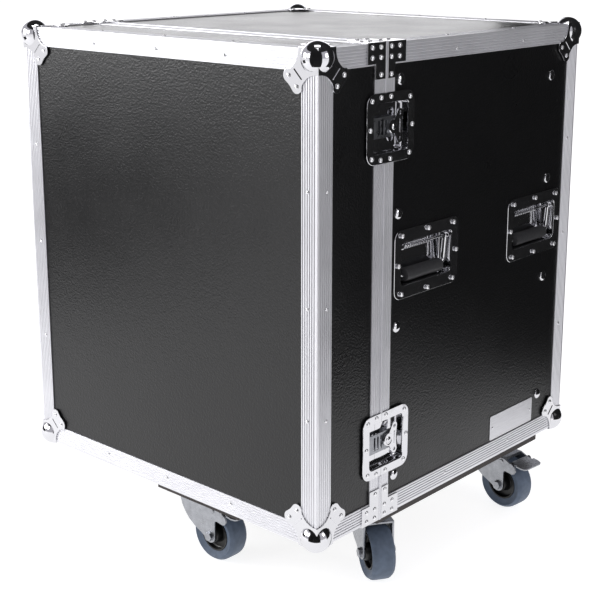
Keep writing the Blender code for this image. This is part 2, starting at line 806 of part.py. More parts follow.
def handle_dish():
    """A handle dish with its hinge rod, centred on the origin of the outer plane."""
    under = -SKIN + GAP
    low = (-HANDLE_HALF_LENGTH, -HANDLE_HALF_HEIGHT)
    high = (HANDLE_HALF_LENGTH, HANDLE_HALF_HEIGHT)
    flange = flat("X", under, under + DISH, rounded(low, high, (HANDLE_CORNER,) * 4))
    length, height = HANDLE_POCKET_HALF_LENGTH, HANDLE_POCKET_HALF_HEIGHT
    low = (-HANDLE_DEPTH - DISH, -length - DISH, -height - DISH)
    shell = box(low, (under + DISH / 2, length + DISH, height + DISH))
    hollow = box((-HANDLE_DEPTH, -length, -height), (HANDLE_DEPTH, length, height))
    ends = length + DISH / 2
    pin = turned("Y", [(0, -ends), (HINGE_ROD, -ends), (HINGE_ROD, ends), (0, ends)], 8)
    return union(cut(union(flange, shell), hollow), moved(pin, -HINGE_DEPTH, 0, HINGE_ABOVE_CENTRE))


def bail():
    """The bail with its grip and its return spring, hinge line at the origin, hanging down."""
    arm = HANDLE_POCKET_HALF_LENGTH - BAIL_WIRE - 2 * GAP - DISH
    lean = HINGE_DEPTH - HANDLE_DEPTH + GRIP_RADIUS + 4 * GAP
    bend = BAIL_WIRE * 1.5
    points = []
    for sign in (-1, 1):
        leg = [(0, sign * arm, -HINGE_ROD - BAIL_WIRE / 2), (lean, sign * arm, -BAIL_DROP + bend)]
        corner = (lean, sign * (arm - bend), -BAIL_DROP)
        points += [*leg, corner] if sign < 0 else [corner, *reversed(leg)]
    ends = GRIP_HALF_LENGTH
    shoulder = GRIP_RADIUS * 0.88
    profile = [(0, -ends), (shoulder, -ends), (GRIP_RADIUS, GRIP_EDGE - ends)]
    profile += [(radius, -along) for radius, along in reversed(profile)]
    grip = moved(turned("Y", profile, 12), lean, 0, -BAIL_DROP)
    bore = HINGE_ROD + GAP
    cutter = turned("Y", [(0, -2 * arm), (bore, -2 * arm), (bore, 2 * arm), (0, 2 * arm)], 8)
    shape = cut(union(rod(points, BAIL_WIRE), grip), cutter)
    low, high = arm - BAIL_WIRE, arm + BAIL_WIRE
    eye = turned("Y", [(bore, low), (EYE_RADIUS, low), (EYE_RADIUS, high), (bore, high)], 8, closed=True)
    return union(shape, eye, mirrored(eye, (1, -1, 1)), coil_spring(-low - 3 * GAP))


def coil_spring(start):
    """The return spring round the hinge rod, one unbroken helix that leaves the bail's eye."""
    count = SPRING_TURNS * 8
    points = []
    for index in range(count + 1):
        angle = 2 * math.pi * SPRING_TURNS * index / count
        along = start + SPRING_LENGTH * index / count
        points.append((SPRING_RADIUS * math.cos(angle), along, SPRING_RADIUS * math.sin(angle)))
    print("handle spring, least gap between turns:", round(SPRING_LENGTH / SPRING_TURNS - 2 * SPRING_WIRE, 5))
    return rod(points, SPRING_WIRE)


def handles(case):
    dish, loop = handle_dish(), bail()
    for side, sign in SIDES.items():
        for place, v in zip(("front", "rear"), HANDLE_BEHIND_SEAM):
            signs = (sign, 1, 1)
            centre = (sign * HALF_WIDTH, SEAM + v, HANDLE_HEIGHT)
            hinge = (sign * (HALF_WIDTH - HINGE_DEPTH), SEAM + v, HANDLE_HEIGHT + HINGE_ABOVE_CENTRE)
            name = f"{side}_{place}"
            case.add(f"handle_dish_{name}", mirrored(dish, signs), "chrome", place=centre)
            case.add(f"handle_bail_{name}", mirrored(loop, signs), "zinc", place=hinge)


# Rack rails and drawers


def rack_rail(face, back):
    """An angle rail on the right-hand side, its face leg at a distance behind the seam."""
    inner = RACK_OPENING / 2
    y = SEAM + face
    profile = [
        (inner, y),
        (RAIL_OUTER, y),
        (RAIL_OUTER, y + back * RAIL_SIDE),
        (RAIL_OUTER - RAIL_THICKNESS, y + back * RAIL_SIDE),
        (RAIL_OUTER - RAIL_THICKNESS, y + back * RAIL_THICKNESS),
        (inner, y + back * RAIL_THICKNESS),
    ]
    return flat("Z", RACK_BOTTOM, RACK_BOTTOM + RACK_HEIGHT, profile)


def rail_bolts():
    """Dome-head bolts through the right-hand wall, each with the sleeve that stands its rail off."""
    under = -SKIN + GAP
    wall = -INNER - GAP
    end = RAIL_OUTER - GAP - HALF_WIDTH
    dome = BOLT_HEAD * 0.4
    profile = [
        (0, end),
        (BOLT_SLEEVE, end),
        (BOLT_SLEEVE, wall),
        (BOLT_SHANK, wall),
        (BOLT_SHANK, under),
        (BOLT_HEAD, under),
        (0, under + dome),
    ]
    bolt = turned("X", profile, 8)
    return [moved(bolt.copy(), HALF_WIDTH, y, z) for y, z in bolt_places()]


def fixed_slides():
    """The fixed slide members of the right-hand side, with the ears that bolt behind the rails."""
    inner, outer = SLIDE_OUTER - SLIDE_WIDTH, SLIDE_OUTER
    front, rear = SEAM + RAIL_SET_BACK, SEAM + RAIL_REAR_FACE
    shapes = []
    for index in range(DRAWERS):
        middle = drawer_bottom(index) + DRAWER_RISE + DRAWER_HEIGHT / 2
        half = SLIDE_HEIGHT / 2
        shapes.append(box((inner, front, middle - half), (outer, rear, middle + half)))
        low, high = middle - half * 0.9, middle + half * 0.9
        behind = front + RAIL_THICKNESS - GAP
        shapes.append(box((inner + GAP, behind, low), (outer + SLIDE_EAR, behind + SLIDE_EAR_SHEET, high)))
        ahead = rear - RAIL_THICKNESS + GAP
        shapes.append(box((inner + GAP, ahead - SLIDE_EAR_SHEET, low), (outer + SLIDE_EAR, ahead, high)))
    return shapes


def rack_frames(case):
    """Front and rear rails on each side, with their bolts and the fixed members of the slides."""
    rails = [rack_rail(RAIL_SET_BACK, 1), rack_rail(RAIL_REAR_FACE, -1)]
    frame = union(*rails[:1], *fixed_slides(), *rails[1:], *rail_bolts())
    for side, sign in SIDES.items():
        case.add(f"rack_frame_{side}", mirrored(frame, (sign, 1, 1)), "zinc")


def drawer_bottom(index):
    return RACK_BOTTOM + RACK_HEIGHT / DRAWERS * index + DRAWER_GAP / 2


def drawer_front():
    """A drawer's front with its pull and lock, its bottom edge at z = 0 and face at y = 0."""
    half = RACK_OPENING / 2 + RACK_EAR
    height = DRAWER_FRONT_HEIGHT
    plate = box((-half, 0, 0), (half, DRAWER_FRONT, height))
    inside = DRAWER_FRONT / 2
    middle = height / 2
    bend = PULL_WIRE * 2
    points = [(-PULL_HALF, inside, middle), (-PULL_HALF, bend - PULL_STANDOFF, middle)]
    points += [(bend - PULL_HALF, -PULL_STANDOFF, middle), (PULL_HALF - bend, -PULL_STANDOFF, middle)]
    points += [(PULL_HALF, bend - PULL_STANDOFF, middle), (PULL_HALF, inside, middle)]
    lock = turned("Y", [(0, -LOCK_RISE), (LOCK_RADIUS, -LOCK_RISE), (LOCK_RADIUS, inside), (0, inside)], 8)
    return union(plate, rod(points, PULL_WIRE), moved(lock, 0, 0, height * 0.78))


def tray():
    """A drawer's open tray with the moving members of its slides."""
    start = DRAWER_FRONT - GAP
    end = DRAWER_FRONT + DRAWER_DEPTH
    low, high = DRAWER_RISE, DRAWER_RISE + DRAWER_HEIGHT
    sheet = DRAWER_SHEET
    shell = box((-TRAY_HALF, start, low), (TRAY_HALF, end, high))
    corner = (TRAY_HALF - sheet, end - sheet, high + sheet)
    hollow = box((-corner[0], start + sheet, low + sheet), corner)
    middle = low + DRAWER_HEIGHT / 2
    half = SLIDE_HEIGHT / 2 * 0.8
    low = (SLIDE_INNER - SLIDE_WIDTH, start + GAP, middle - half)
    slide = box(low, (SLIDE_INNER, end - GAP, middle + half))
    return union(cut(shell, hollow), slide, mirrored(slide, (-1, 1, 1)))


def drawers(case):
    shape = union(drawer_front(), tray())
    y = SEAM + RAIL_SET_BACK - GAP - DRAWER_FRONT
    for index in range(DRAWERS):
        place = (0, y, drawer_bottom(index))
        case.add(f"drawer_{index + 1}", shape.copy(), "steel", place=place)


# Caster boards and casters


def boards(case):
    half = HALF_WIDTH - BOARD_SIDE_INSET
    low = (-half, SEAM + BOARD_FRONT_INSET, CASTER_HEIGHT)
    high = (half, BACK - BOARD_BACK_INSET, BASE - GAP)
    case.add("caster_board", box(low, high), "ply")
    low = (-LID_BOARD_LEFT, FRONT + LID_BOARD_FRONT, CASTER_HEIGHT)
    high = (LID_BOARD_RIGHT, SEAM - LID_BOARD_BACK, BASE - GAP)
    case.add("lid_caster_board", box(low, high), "ply")


def caster_plate(length, width):
    """A caster's top plate with its fixed race, kingpin on the Z axis."""
    half = (length / 2, width / 2)
    outline = rounded((-half[0], -half[1]), half, (0.004,) * 4, 1)
    plate = flat("Z", PLATE_UNDER, PLATE_TOP, outline)
    low = PLATE_UNDER - CASTER_PLATE_THICKNESS
    inside = PLATE_UNDER + CASTER_PLATE_THICKNESS / 2
    race = turned("Z", [(0, low), (CASTER_BOSS, low), (CASTER_BOSS, inside), (0, inside)], 10)
    return union(plate, race)


def leg_outline(braked):
    """One side of a fork, as (distance along the trail, height)."""
    top = FORK_TOP + FORK_SHEET - GAP / 3
    axle = (TRAIL, WHEEL_RADIUS)
    nose = TRAIL + LEG_FOOT
    points = [(-SWIVEL_RADIUS * 0.8, top), (-SWIVEL_RADIUS * 0.75, top - 4 * FORK_SHEET)]
    points += [(-SWIVEL_RADIUS * 0.3, WHEEL_RADIUS * 1.40), (TRAIL * 0.35, WHEEL_RADIUS * 1.06)]
    points += arc(axle, LEG_FOOT, 215, 360, 4)
    if braked:
        points += [(nose, WHEEL_RADIUS * 1.68), (LUG_REACH - 2 * FORK_SHEET, WHEEL_RADIUS * 1.62)]
        points += [(LUG_REACH, WHEEL_RADIUS * 1.76), (LUG_REACH - FORK_SHEET, WHEEL_RADIUS * 1.98)]
    points.append((nose, top))
    return points


def pedal_hinge():
    """The pedal's hinge line in the fork's plane, as (distance along the trail, height)."""
    return LUG_REACH - PEDAL_PIN_FROM_TIP, FORK_TOP - PEDAL_BARREL


def fork(braked):
    """The swivelling fork with its cup, legs and axle bolt; the trail runs along +X."""
    plate_top = FORK_TOP + FORK_SHEET
    race_under = PLATE_UNDER - CASTER_PLATE_THICKNESS - GAP
    half = FORK_HALF + FORK_SHEET
    nose = TRAIL + LEG_FOOT
    start = math.degrees(math.asin(half / SWIVEL_RADIUS))
    outline = arc((0, 0), SWIVEL_RADIUS, start, 360 - start, 8) + [(nose, -half), (nose, half)]
    crown = flat("Z", FORK_TOP, plate_top, outline)
    inside = plate_top - FORK_SHEET / 2
    waist = (SWIVEL_RADIUS * 0.9, race_under - 0.004)
    profile = [(0, inside), (SWIVEL_RADIUS * 0.96, inside), waist, (CASTER_BOSS, race_under), (0, race_under)]
    cup = turned("Z", profile, 10)
    legs = []
    for sign in (1, -1):
        low, high = sorted((sign * FORK_HALF, sign * (half - GAP / 3)))
        legs.append(flat("Y", low, high, leg_outline(braked)))
    tip = half + AXLE_HEAD
    head = AXLE_RADIUS * 1.9
    bolt = [(0, -tip), (head, -tip), (head, GAP / 3 - half), (AXLE_RADIUS, GAP / 3 - half)]
    bolt += [(radius, -along) for radius, along in reversed(bolt)]
    pieces = [cup, *legs, moved(turned("Y", bolt, 6), TRAIL, 0, WHEEL_RADIUS)]
    if braked:
        ends = half - GAP
        along, height = pedal_hinge()
        pin = turned("Y", [(0, -ends), (PEDAL_PIN, -ends), (PEDAL_PIN, ends), (0, ends)], 8)
        pieces.append(moved(pin, along, 0, height))
    return union(crown, *pieces)


def wheel():
    """Tyre and hub, turned about the axle at the origin, with a flat of the tread at the bottom."""
    half = TYRE_WIDTH / 2
    hub_end = FORK_HALF - 2 * GAP
    bore = AXLE_RADIUS + GAP
    step = math.pi / TYRE_FACETS
    tread = WHEEL_RADIUS / math.cos(step)
    side = [
        (bore, -hub_end),
        (bore * 2, -hub_end),
        (HUB_RIM, TYRE_SHOULDER - half),
        (tread - TYRE_SHOULDER, -half),
        (tread, TYRE_SHOULDER - half),
    ]
    profile = side + [(radius, -along) for radius, along in reversed(side)]
    shape = turned("Y", profile, TYRE_FACETS, closed=True)
    shape.transform(Matrix.Rotation(math.pi / 2 + step, 4, "Y"))
    return shape


def pedal():
    """The brake pedal: a barrel round its hinge pin at the origin, and a tread along +X."""
    along, height = pedal_hinge()
    reach = PEDAL_REACH - along
    root = FORK_HALF - 2 * GAP
    wide = FORK_HALF + FORK_SHEET
    clear = LUG_REACH - along + 2 * GAP
    outline = [(0, -root), (clear, -root), (clear, -wide), (reach * 0.8, -wide * 0.92), (reach, -wide * 0.7)]
    outline += [(x, -y) for x, y in reversed(outline)]
    top = PEDAL_BARREL - GAP
    plate = flat("Z", top - PEDAL_SHEET, top, outline)
    ends = root - GAP
    barrel = turned("Y", [(0, -ends), (PEDAL_BARREL, -ends), (PEDAL_BARREL, ends), (0, ends)], 8)
    bore = PEDAL_PIN + GAP
    hole = turned("Y", [(0, -wide), (bore, -wide), (bore, wide), (0, wide)], 8)
    shape = cut(union(plate, barrel), hole)
    shape.transform(Matrix.Rotation(math.radians(PEDAL_SLOPE), 4, "Y"))
    return shape


def casters(case):
    """Four casters under the body and one under the lid.

    Each is (name, x, y, yaw of the trail in degrees, whether it has a brake).
    """
    side = HALF_WIDTH - CASTER_SIDE_INSET
    places = (
        ("front_right", side, FRONT + CASTER_FRONT, -33, False),
        ("rear_right", side, BACK - CASTER_FROM_BACK, -5, True),
        ("front_left", -side, FRONT + CASTER_FRONT, 100, False),
        ("rear_left", -side, BACK - CASTER_FROM_BACK, 185, True),
        ("lid", 0, FRONT + LID_CASTER, 0, True),
    )
    length, width = CASTER_PLATE
    body_plate, lid_plate = caster_plate(length, width), caster_plate(width, length)
    plain, braked, roller, tread = fork(False), fork(True), wheel(), pedal()
    along, height = pedal_hinge()
    for name, x, y, yaw, has_brake in places:
        plate = lid_plate if name == "lid" else body_plate
        case.add_copy(f"caster_plate_{name}", plate, "zinc", place=(x, y, 0))
        shape = braked if has_brake else plain
        holder = case.add_copy(f"caster_fork_{name}", shape, "zinc", place=(x, y, 0), yaw=math.radians(yaw))
        axle = (TRAIL, 0, WHEEL_RADIUS)
        case.add_copy(f"caster_wheel_{name}", roller, "rubber", place=axle, parent=holder)
        if has_brake:
            hinge = (along, 0, height)
            case.add_copy(f"caster_pedal_{name}", tread, "zinc", place=hinge, parent=holder)


def main():
    clear_scene()
    case = Case("rack_flight_case")
    body_panels(case)
    lid_panels(case)
    frames(case)
    latches(case)
    handles(case)
    rack_frames(case)
    drawers(case)
    boards(case)
    casters(case)


main()
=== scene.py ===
"""Utility case with drawers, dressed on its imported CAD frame.

Metres, +Z up, the lid at -Y and the right-hand side at +X. On a side wall, u is the distance
out from the outer plane of the case, v the distance behind the seam and h a height from a centre.
"""

import math

import bmesh
import bpy
from mathutils import Matrix, Vector


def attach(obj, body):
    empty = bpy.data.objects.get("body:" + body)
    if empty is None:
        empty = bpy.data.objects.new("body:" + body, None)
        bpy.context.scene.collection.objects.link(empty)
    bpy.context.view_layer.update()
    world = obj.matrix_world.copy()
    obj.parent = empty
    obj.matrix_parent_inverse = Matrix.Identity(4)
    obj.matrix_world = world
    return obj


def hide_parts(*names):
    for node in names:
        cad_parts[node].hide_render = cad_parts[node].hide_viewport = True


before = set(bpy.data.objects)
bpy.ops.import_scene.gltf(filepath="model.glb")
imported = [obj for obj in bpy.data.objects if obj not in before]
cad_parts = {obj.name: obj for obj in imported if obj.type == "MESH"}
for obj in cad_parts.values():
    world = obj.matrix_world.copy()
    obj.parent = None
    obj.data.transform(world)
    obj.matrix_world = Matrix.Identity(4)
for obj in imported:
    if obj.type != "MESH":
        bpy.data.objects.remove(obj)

bl_info = {
    "name": "Utility case with drawers",
    "version": (1, 0, 0),
    "blender": (4, 5, 0),
    "location": "3D View > Sidebar > Case",
    "description": "Builds the visible pieces of a rack flight case on its CAD frame",
    "category": "Object",
}

# Whole case, as in the CAD. SKIN and INNER are how deep a wall's two faces lie, SUNK is how far
# a riveted plate reaches into the face under it, and points closer than WELD are one.
HALF_WIDTH = 0.2665
FRONT = -0.2775
BACK = 0.2775
SEAM = -0.1575
LID_SEAM = SEAM - 0.0003
BASE = 0.112
TOP = 0.710
MIDDLE = (BASE + TOP) / 2
GAP = 0.0003
SKIN = 0.0018
INNER = 0.0108
SHEET = 0.0015
SUNK = 0.0002
WELD = 1e-7
SIDES = {"right": 1, "left": -1}
OUTWARD = (1, 0, 0)

# Edge and seam extrusions. A groove takes up GROOVE_SHARE of its pitch, and each of its slopes
# takes up GROOVE_SLOPE of the groove.
LEG = 0.0255
BODY_FLANGE = 0.017
LID_FLANGE = 0.020
SEAM_BLOCK = 0.0073
TONGUE = 0.005
LIP_WIDTH = 0.002
LIP_HEIGHT = 0.0018
CORNER_CLEAR = 0.0281
GROOVED_PART = LEG - 0.004
GROOVE_SHARE = 0.55
GROOVE_SLOPE = 0.38

# Ball corners and seam brackets. ARCH is where a leg leaves the ball, and CREASE is the sum of
# the two distances along a leg's pressed line.
BALL_RADIUS = 0.0193
BALL_INSET = 0.0107
ARCH = 0.0287
FAR_RIVET = 0.043
NEAR_RIVET = 0.031
LOBE = 0.0084
BRACKET_LENGTH = 0.0335
BRACKET_WIDTH = 0.0237
BRACKET_DROP = 0.0416
BODY_BRACKET_ARM = 0.0135
LID_BRACKET_ARM = 0.0188
LOW_BRACKET_LIP = 0.0055
CREASE = 0.0582
CREASE_END = 0.0235
CREASE_RADIUS = 0.00075

# Latches, with their dishes' boxes as (behind the seam, from the middle)
LATCH_HEIGHTS = {"lower": 0.212, "upper": 0.610}
LATCH_NOTCH = 0.031
LATCH_HALF = 0.042
PIVOT = 0.0185
LATCH_OUTER = ((-0.036, -LATCH_HALF), (0.055, LATCH_HALF))
LATCH_POCKET = ((-0.0225, -0.0295), (0.0435, 0.0295))
LATCH_DEPTH = 0.0093

# Handles. The bail leans in so far that its grip just clears the floor of the dish.
HANDLE_HEIGHT = 0.436
HANDLE_BEHIND_SEAM = {"front": 0.090, "rear": 0.340}
HINGE_DEPTH = 0.008
HINGE_RISE = 0.020
HINGE_ROD = 0.0017
HANDLE_OUTER = ((-0.067, -0.044), (0.067, 0.044))
HANDLE_POCKET = ((-0.0525, -0.0273), (0.0525, 0.0273))
HANDLE_DEPTH = 0.020
BAIL_ARM = 0.0472
BAIL_DROP = 0.0375
BAIL_RADIUS = 0.0035
GRIP_RADIUS = 0.0088
GRIP_CLEAR = 0.0012
BAIL_LEAN = HINGE_DEPTH - HANDLE_DEPTH + GRIP_RADIUS + GRIP_CLEAR
SPRING_RADIUS = 0.0029
SPRING_LENGTH = 0.054
SPRING_WIRE = 0.0006

# Casters: kingpin x, y, yaw of the trail in degrees, whether it has a brake
CASTERS = {
    "front_right": (0.1995, -0.0955, -33, False),
    "rear_right": (0.1995, 0.1925, -5, True),
    "front_left": (-0.1995, -0.0955, 100, False),
    "rear_left": (-0.1995, 0.1925, 185, True),
    "lid": (0.0, -0.212, 0, True),
}
TRAIL = 0.035
WHEEL_RADIUS = 0.0375
FORK_TOP = 0.079
FORK_HALF = 0.0185
FORK_SHEET = 0.003
FORK_HALF_OUT = FORK_HALF + FORK_SHEET
LEG_FACE = FORK_HALF_OUT - 0.0001
EYE_RADIUS = 0.0095
LEG_NOSE = TRAIL + EYE_RADIUS
CROWN_RADIUS = 0.027
RACE_UNDER = 0.0934
PLATE_UNDER = 0.0967
PLATE_TOP = 0.0997
PEDAL_PIN = (0.058, 0.0752)
STOP_PIN = (0.0405, 0.0762)
PEDAL_REACH = 0.025
PEDAL_BARREL = 0.0038

# Rivets and bolts: places as (behind the seam or along, from the middle or in from the edge)
EDGE_RIVET_INSET = 0.0155
EDGE_RIVET_SIZE = 0.72
EDGE_RIVET_RISE = 0.138
EDGE_RIVETS_ACROSS = (0.0001, 0.120)
EDGE_RIVET_RUN = 0.076
RIDGE_RIVET = 0.0042
LID_BRACKET_RIVETS = (
    (0.0267, RIDGE_RIVET),
    (0.0110, RIDGE_RIVET),
    (0.0267, 0.0161),
    (0.0110, 0.0161),
    (0.0103, 0.0362),
)
BODY_BRACKET_RIVETS = (
    (0.0085, RIDGE_RIVET),
    (0.024, RIDGE_RIVET),
    (0.0085, 0.0164),
    (0.024, 0.0167),
    (0.0088, 0.0367),
)
LID_LATCH_RIVETS = ((-0.0263, 0.034), (-0.0096, 0.037), (-0.0291, 0))
BODY_LATCH_RIVETS = ((0.0088, 0.037), (0.046, 0.034), (0.0506, 0))
HANDLE_RIVETS = (
    (-0.054, -0.037),
    (-0.054, 0.037),
    (0.054, -0.037),
    (0.054, 0.037),
    (-0.0605, 0),
    (0.0605, 0),
    (0, 0.0385),
    (0, -0.0385),
)
FRONT_RACK_BOLTS = (0.030, (0.045, 0.208, 0.352, 0.549))
REAR_RACK_BOLTS = (0.371, (0.068, 0.212, 0.355, 0.534))
BOLT_DOME = 0.0034

# Name plate: its middle from the front and from the base, its thickness and its corners
PLATE_MIDDLE = (0.423, 0.045)
PLATE_SHEET = 0.0008
PLATE_CORNER = 0.003
PLATE_RIVET_INSET = 0.006


def linear(hexadecimal):
    """An sRGB hex colour as the linear colour that Blender works in."""
    parts = [int(hexadecimal[i : i + 2], 16) / 255 for i in (1, 3, 5)]
    return [c / 12.92 if c <= 0.04045 else ((c + 0.055) / 1.055) ** 2.4 for c in parts]


class CaseSizes(bpy.types.PropertyGroup):
    """Sizes of the visible detail."""

    rivet: bpy.props.FloatProperty(
        name="Rivet head",
        description="Radius of a pop rivet's head",
        default=0.0032,
        min=0.001,
        unit="LENGTH",
    )
    rivet_dome: bpy.props.FloatProperty(
        name="Rivet dome",
        description="Height of a pop rivet's head",
        default=0.0018,
        min=0.0005,
        unit="LENGTH",
    )
    bolt: bpy.props.FloatProperty(
        name="Rack bolt head",
        description="Radius of a rack bolt's domed head",
        default=0.0075,
        min=0.003,
        unit="LENGTH",
    )
    grooves: bpy.props.IntProperty(
        name="Grooves",
        description="Grooves along each leg of an edge extrusion",
        default=6,
        min=1,
        max=10,
    )
    groove_depth: bpy.props.FloatProperty(
        name="Groove depth",
        description="Depth of an extrusion's grooves",
        default=0.0008,
        min=0.0001,
        unit="LENGTH",
    )
    spring_turns: bpy.props.IntProperty(
        name="Spring turns",
        description="Curls of a handle's return spring",
        default=11,
        min=4,
        max=20,
    )
    name_plate: bpy.props.FloatVectorProperty(
        name="Name plate",
        description="Length and height of the bare plate",
        size=2,
        default=(0.108, 0.036),
        unit="LENGTH",
    )


class CaseColours(bpy.types.PropertyGroup):
    """Colours of the finishes."""

    laminate: bpy.props.FloatVectorProperty(
        name="Laminate",
        description="Pebbled laminate of the walls",
        subtype="COLOR",
        default=linear("#0b0b0c"),
    )
    aluminium: bpy.props.FloatVectorProperty(
        name="Aluminium",
        description="Anodised extrusions",
        subtype="COLOR",
        default=linear("#e2e2e6"),
    )
    chrome: bpy.props.FloatVectorProperty(
        name="Chrome",
        description="Plated corners, dishes and rivets",
        subtype="COLOR",
        default=linear("#d9d9dc"),
    )
    zinc: bpy.props.FloatVectorProperty(
        name="Zinc",
        description="Plated forks, plates and hooks",
        subtype="COLOR",
        default=linear("#a6a8ad"),
    )
    rivets: bpy.props.FloatVectorProperty(
        name="Rivets",
        description="Satin rivet heads",
        subtype="COLOR",
        default=linear("#eeeef0"),
    )
    tyre: bpy.props.FloatVectorProperty(
        name="Tyre",
        description="Rubber of the wheels",
        subtype="COLOR",
        default=linear("#535f70"),
    )
    rubber: bpy.props.FloatVectorProperty(
        name="Grip",
        description="Rubber of the handle grips",
        subtype="COLOR",
        default=linear("#2b2b2d"),
    )
    board: bpy.props.FloatVectorProperty(
        name="Board",
        description="Stained plywood under the case",
        subtype="COLOR",
        default=linear("#2e2826"),
    )


# Mesh making


def helper(data):
    """A passing object for a mesh or curve, linked so that modifiers can work on it."""
    item = bpy.data.objects.new("helper", data)
    bpy.context.scene.collection.objects.link(item)
    return item


def evaluated(item):
    """A plain mesh of the object as its modifiers leave it; the object is removed."""
    graph = bpy.context.evaluated_depsgraph_get()
    mesh = bpy.data.meshes.new_from_object(item.evaluated_get(graph))
    mesh.transform(item.matrix_world)
    bpy.data.objects.remove(item)
    return mesh


def flat(axis, low, high, outline, holes=()):
    """A flat outline, and its holes, made solid between two planes square to an axis.

    Points are (y, z) for axis X, (x, z) for axis Y and (x, y) for axis Z.
    """
    curve = bpy.data.curves.new("outline", "CURVE")
    curve.dimensions = "2D"
    curve.fill_mode = "BOTH"
    curve.extrude = (high - low) / 2
    for points in (outline, *holes):
        spline = curve.splines.new("POLY")
        spline.points.add(len(points) - 1)
        for point, (across, up) in zip(spline.points, points):
            point.co = (across, up, 0, 1)
        spline.use_cyclic_u = True
    mesh = evaluated(helper(curve))
    bpy.data.curves.remove(curve)
    middle = (low + high) / 2
    turn = {
        "X": Matrix(((0, 0, 1, middle), (1, 0, 0, 0), (0, 1, 0, 0), (0, 0, 0, 1))),
        "Y": Matrix(((1, 0, 0, 0), (0, 0, -1, middle), (0, 1, 0, 0), (0, 0, 0, 1))),
        "Z": Matrix.Translation((0, 0, middle)),
    }
    mesh.transform(turn[axis])
    return mesh


def turned(axis, profile, steps, closed=False):
    """A profile of (radius, along) points revolved about an axis through the origin."""
    work = bmesh.new()
    count = len(profile)
    rings = []
    for radius, along in profile:
        if radius < WELD:
            rings.append([work.verts.new((0, 0, along))] * steps)
            continue
        ring = []
        for step in range(steps):
            angle = 2 * math.pi * step / steps
            ring.append(work.verts.new((radius * math.cos(angle), radius * math.sin(angle), along)))
        rings.append(ring)
    for index in range(count if closed else count - 1):
        first, second = rings[index], rings[(index + 1) % count]
        for step in range(steps):
            other = (step + 1) % steps
            corners = dict.fromkeys((first[step], first[other], second[other], second[step]))
            if len(corners) > 2:
                work.faces.new(corners)
    mesh = plain(work)
    turn = {"X": Matrix.Rotation(math.pi / 2, 4, "Y"), "Y": Matrix.Rotation(-math.pi / 2, 4, "X")}
    if axis in turn:
        mesh.transform(turn[axis])
    return mesh


def plain(work):
    """The mesh of a finished bmesh, which is freed."""
    mesh = bpy.data.meshes.new("mesh")
    work.to_mesh(mesh)
    work.free()
    return mesh


def lofted(rings, closed=False):
    """A skin over rings of points that have the same count; open ends get a face."""
    work = bmesh.new()
    made = [[work.verts.new(point) for point in ring] for ring in rings]
    count = len(made[0])
    pairs = list(zip(made, made[1:]))
    if closed:
        pairs.append((made[-1], made[0]))
    for first, second in pairs:
        for step in range(count):
            other = (step + 1) % count
            work.faces.new((first[step], first[other], second[other], second[step]))
    if not closed:
        work.faces.new(reversed(made[0]))
        work.faces.new(made[-1])
    return plain(work)


def tube(points, radius, sides):
    """A round bar along a smooth list of points."""
    path = [Vector(p) for p in points]
    rings = []
    across = None
    for index, point in enumerate(path):
        ahead = path[min(index + 1, len(path) - 1)] - path[max(index - 1, 0)]
        ahead.normalize()
        if across is None:
            across = ahead.orthogonal()
        across = (across - ahead * across.dot(ahead)).normalized()
        other = ahead.cross(across)
        ring = []
        for side in range(sides):
            angle = 2 * math.pi * side / sides
            ring.append(point + radius * (math.cos(angle) * across + math.sin(angle) * other))
        rings.append(ring)
    return lofted(rings)


def block(low, high):
    """A box between two opposite corners."""
    outline = rectangle((low[1], low[2]), (high[1], high[2]))
    return flat("X", low[0], high[0], outline)


def moved(mesh, *shift):
    """The same mesh, shifted in place."""
    mesh.transform(Matrix.Translation(shift))
    return mesh


def turned_by(mesh, degrees, axis):
    """The same mesh, turned in place about an axis through the origin."""
    mesh.transform(Matrix.Rotation(math.radians(degrees), 4, axis))
    return mesh


def mirrored(mesh, *signs):
    """A copy with the axes of negative sign turned round, its faces still pointing out."""
    copy = mesh.copy()
    copy.transform(Matrix.Diagonal((*signs, 1)))
    if signs[0] * signs[1] * signs[2] < 0:
        copy.flip_normals()
    return copy


def joined(meshes):
    """One mesh of several shells, each welded and pointing outwards."""
    work = bmesh.new()
    for mesh in meshes:
        work.from_mesh(mesh)
    bmesh.ops.remove_doubles(work, verts=work.verts, dist=WELD)
    bmesh.ops.recalc_face_normals(work, faces=work.faces)
    return plain(work)


def cut(mesh, tools):
    """The mesh with the tools' space taken out of it."""
    for tool in tools:
        item = helper(mesh)
        other = helper(tool)
        step = item.modifiers.new("step", "BOOLEAN")
        step.operation = "DIFFERENCE"
        step.solver = "EXACT"
        step.object = other
        mesh = evaluated(item)
        bpy.data.objects.remove(other)
    return mesh


def eased(mesh, width, segments=2, angle=35):
    """The mesh with its sharp edges rounded off."""
    work = bmesh.new()
    work.from_mesh(mesh)
    bmesh.ops.remove_doubles(work, verts=work.verts, dist=WELD)
    bmesh.ops.dissolve_limit(work, angle_limit=0.01, verts=work.verts, edges=work.edges)
    bmesh.ops.recalc_face_normals(work, faces=work.faces)
    item = helper(plain(work))
    step = item.modifiers.new("round", "BEVEL")
    step.width = width
    step.segments = segments
    step.limit_method = "ANGLE"
    step.angle_limit = math.radians(angle)
    step.use_clamp_overlap = True
    return evaluated(item)


def arc(centre, radius, start, end, steps):
    """Points along a circular arc, with its angles in degrees."""
    points = []
    for step in range(steps + 1):
        angle = math.radians(start + (end - start) * step / steps)
        points.append((centre[0] + radius * math.cos(angle), centre[1] + radius * math.sin(angle)))
    return points


def circle(centre, radius, steps):
    """The points of a whole circle, none of them twice."""
    return arc(centre, radius, 0, 360 - 360 / steps, steps - 1)


def rectangle(low, high):
    """The four corners between a low and a high one, in turn."""
    return [(low[0], low[1]), (high[0], low[1]), (high[0], high[1]), (low[0], high[1])]


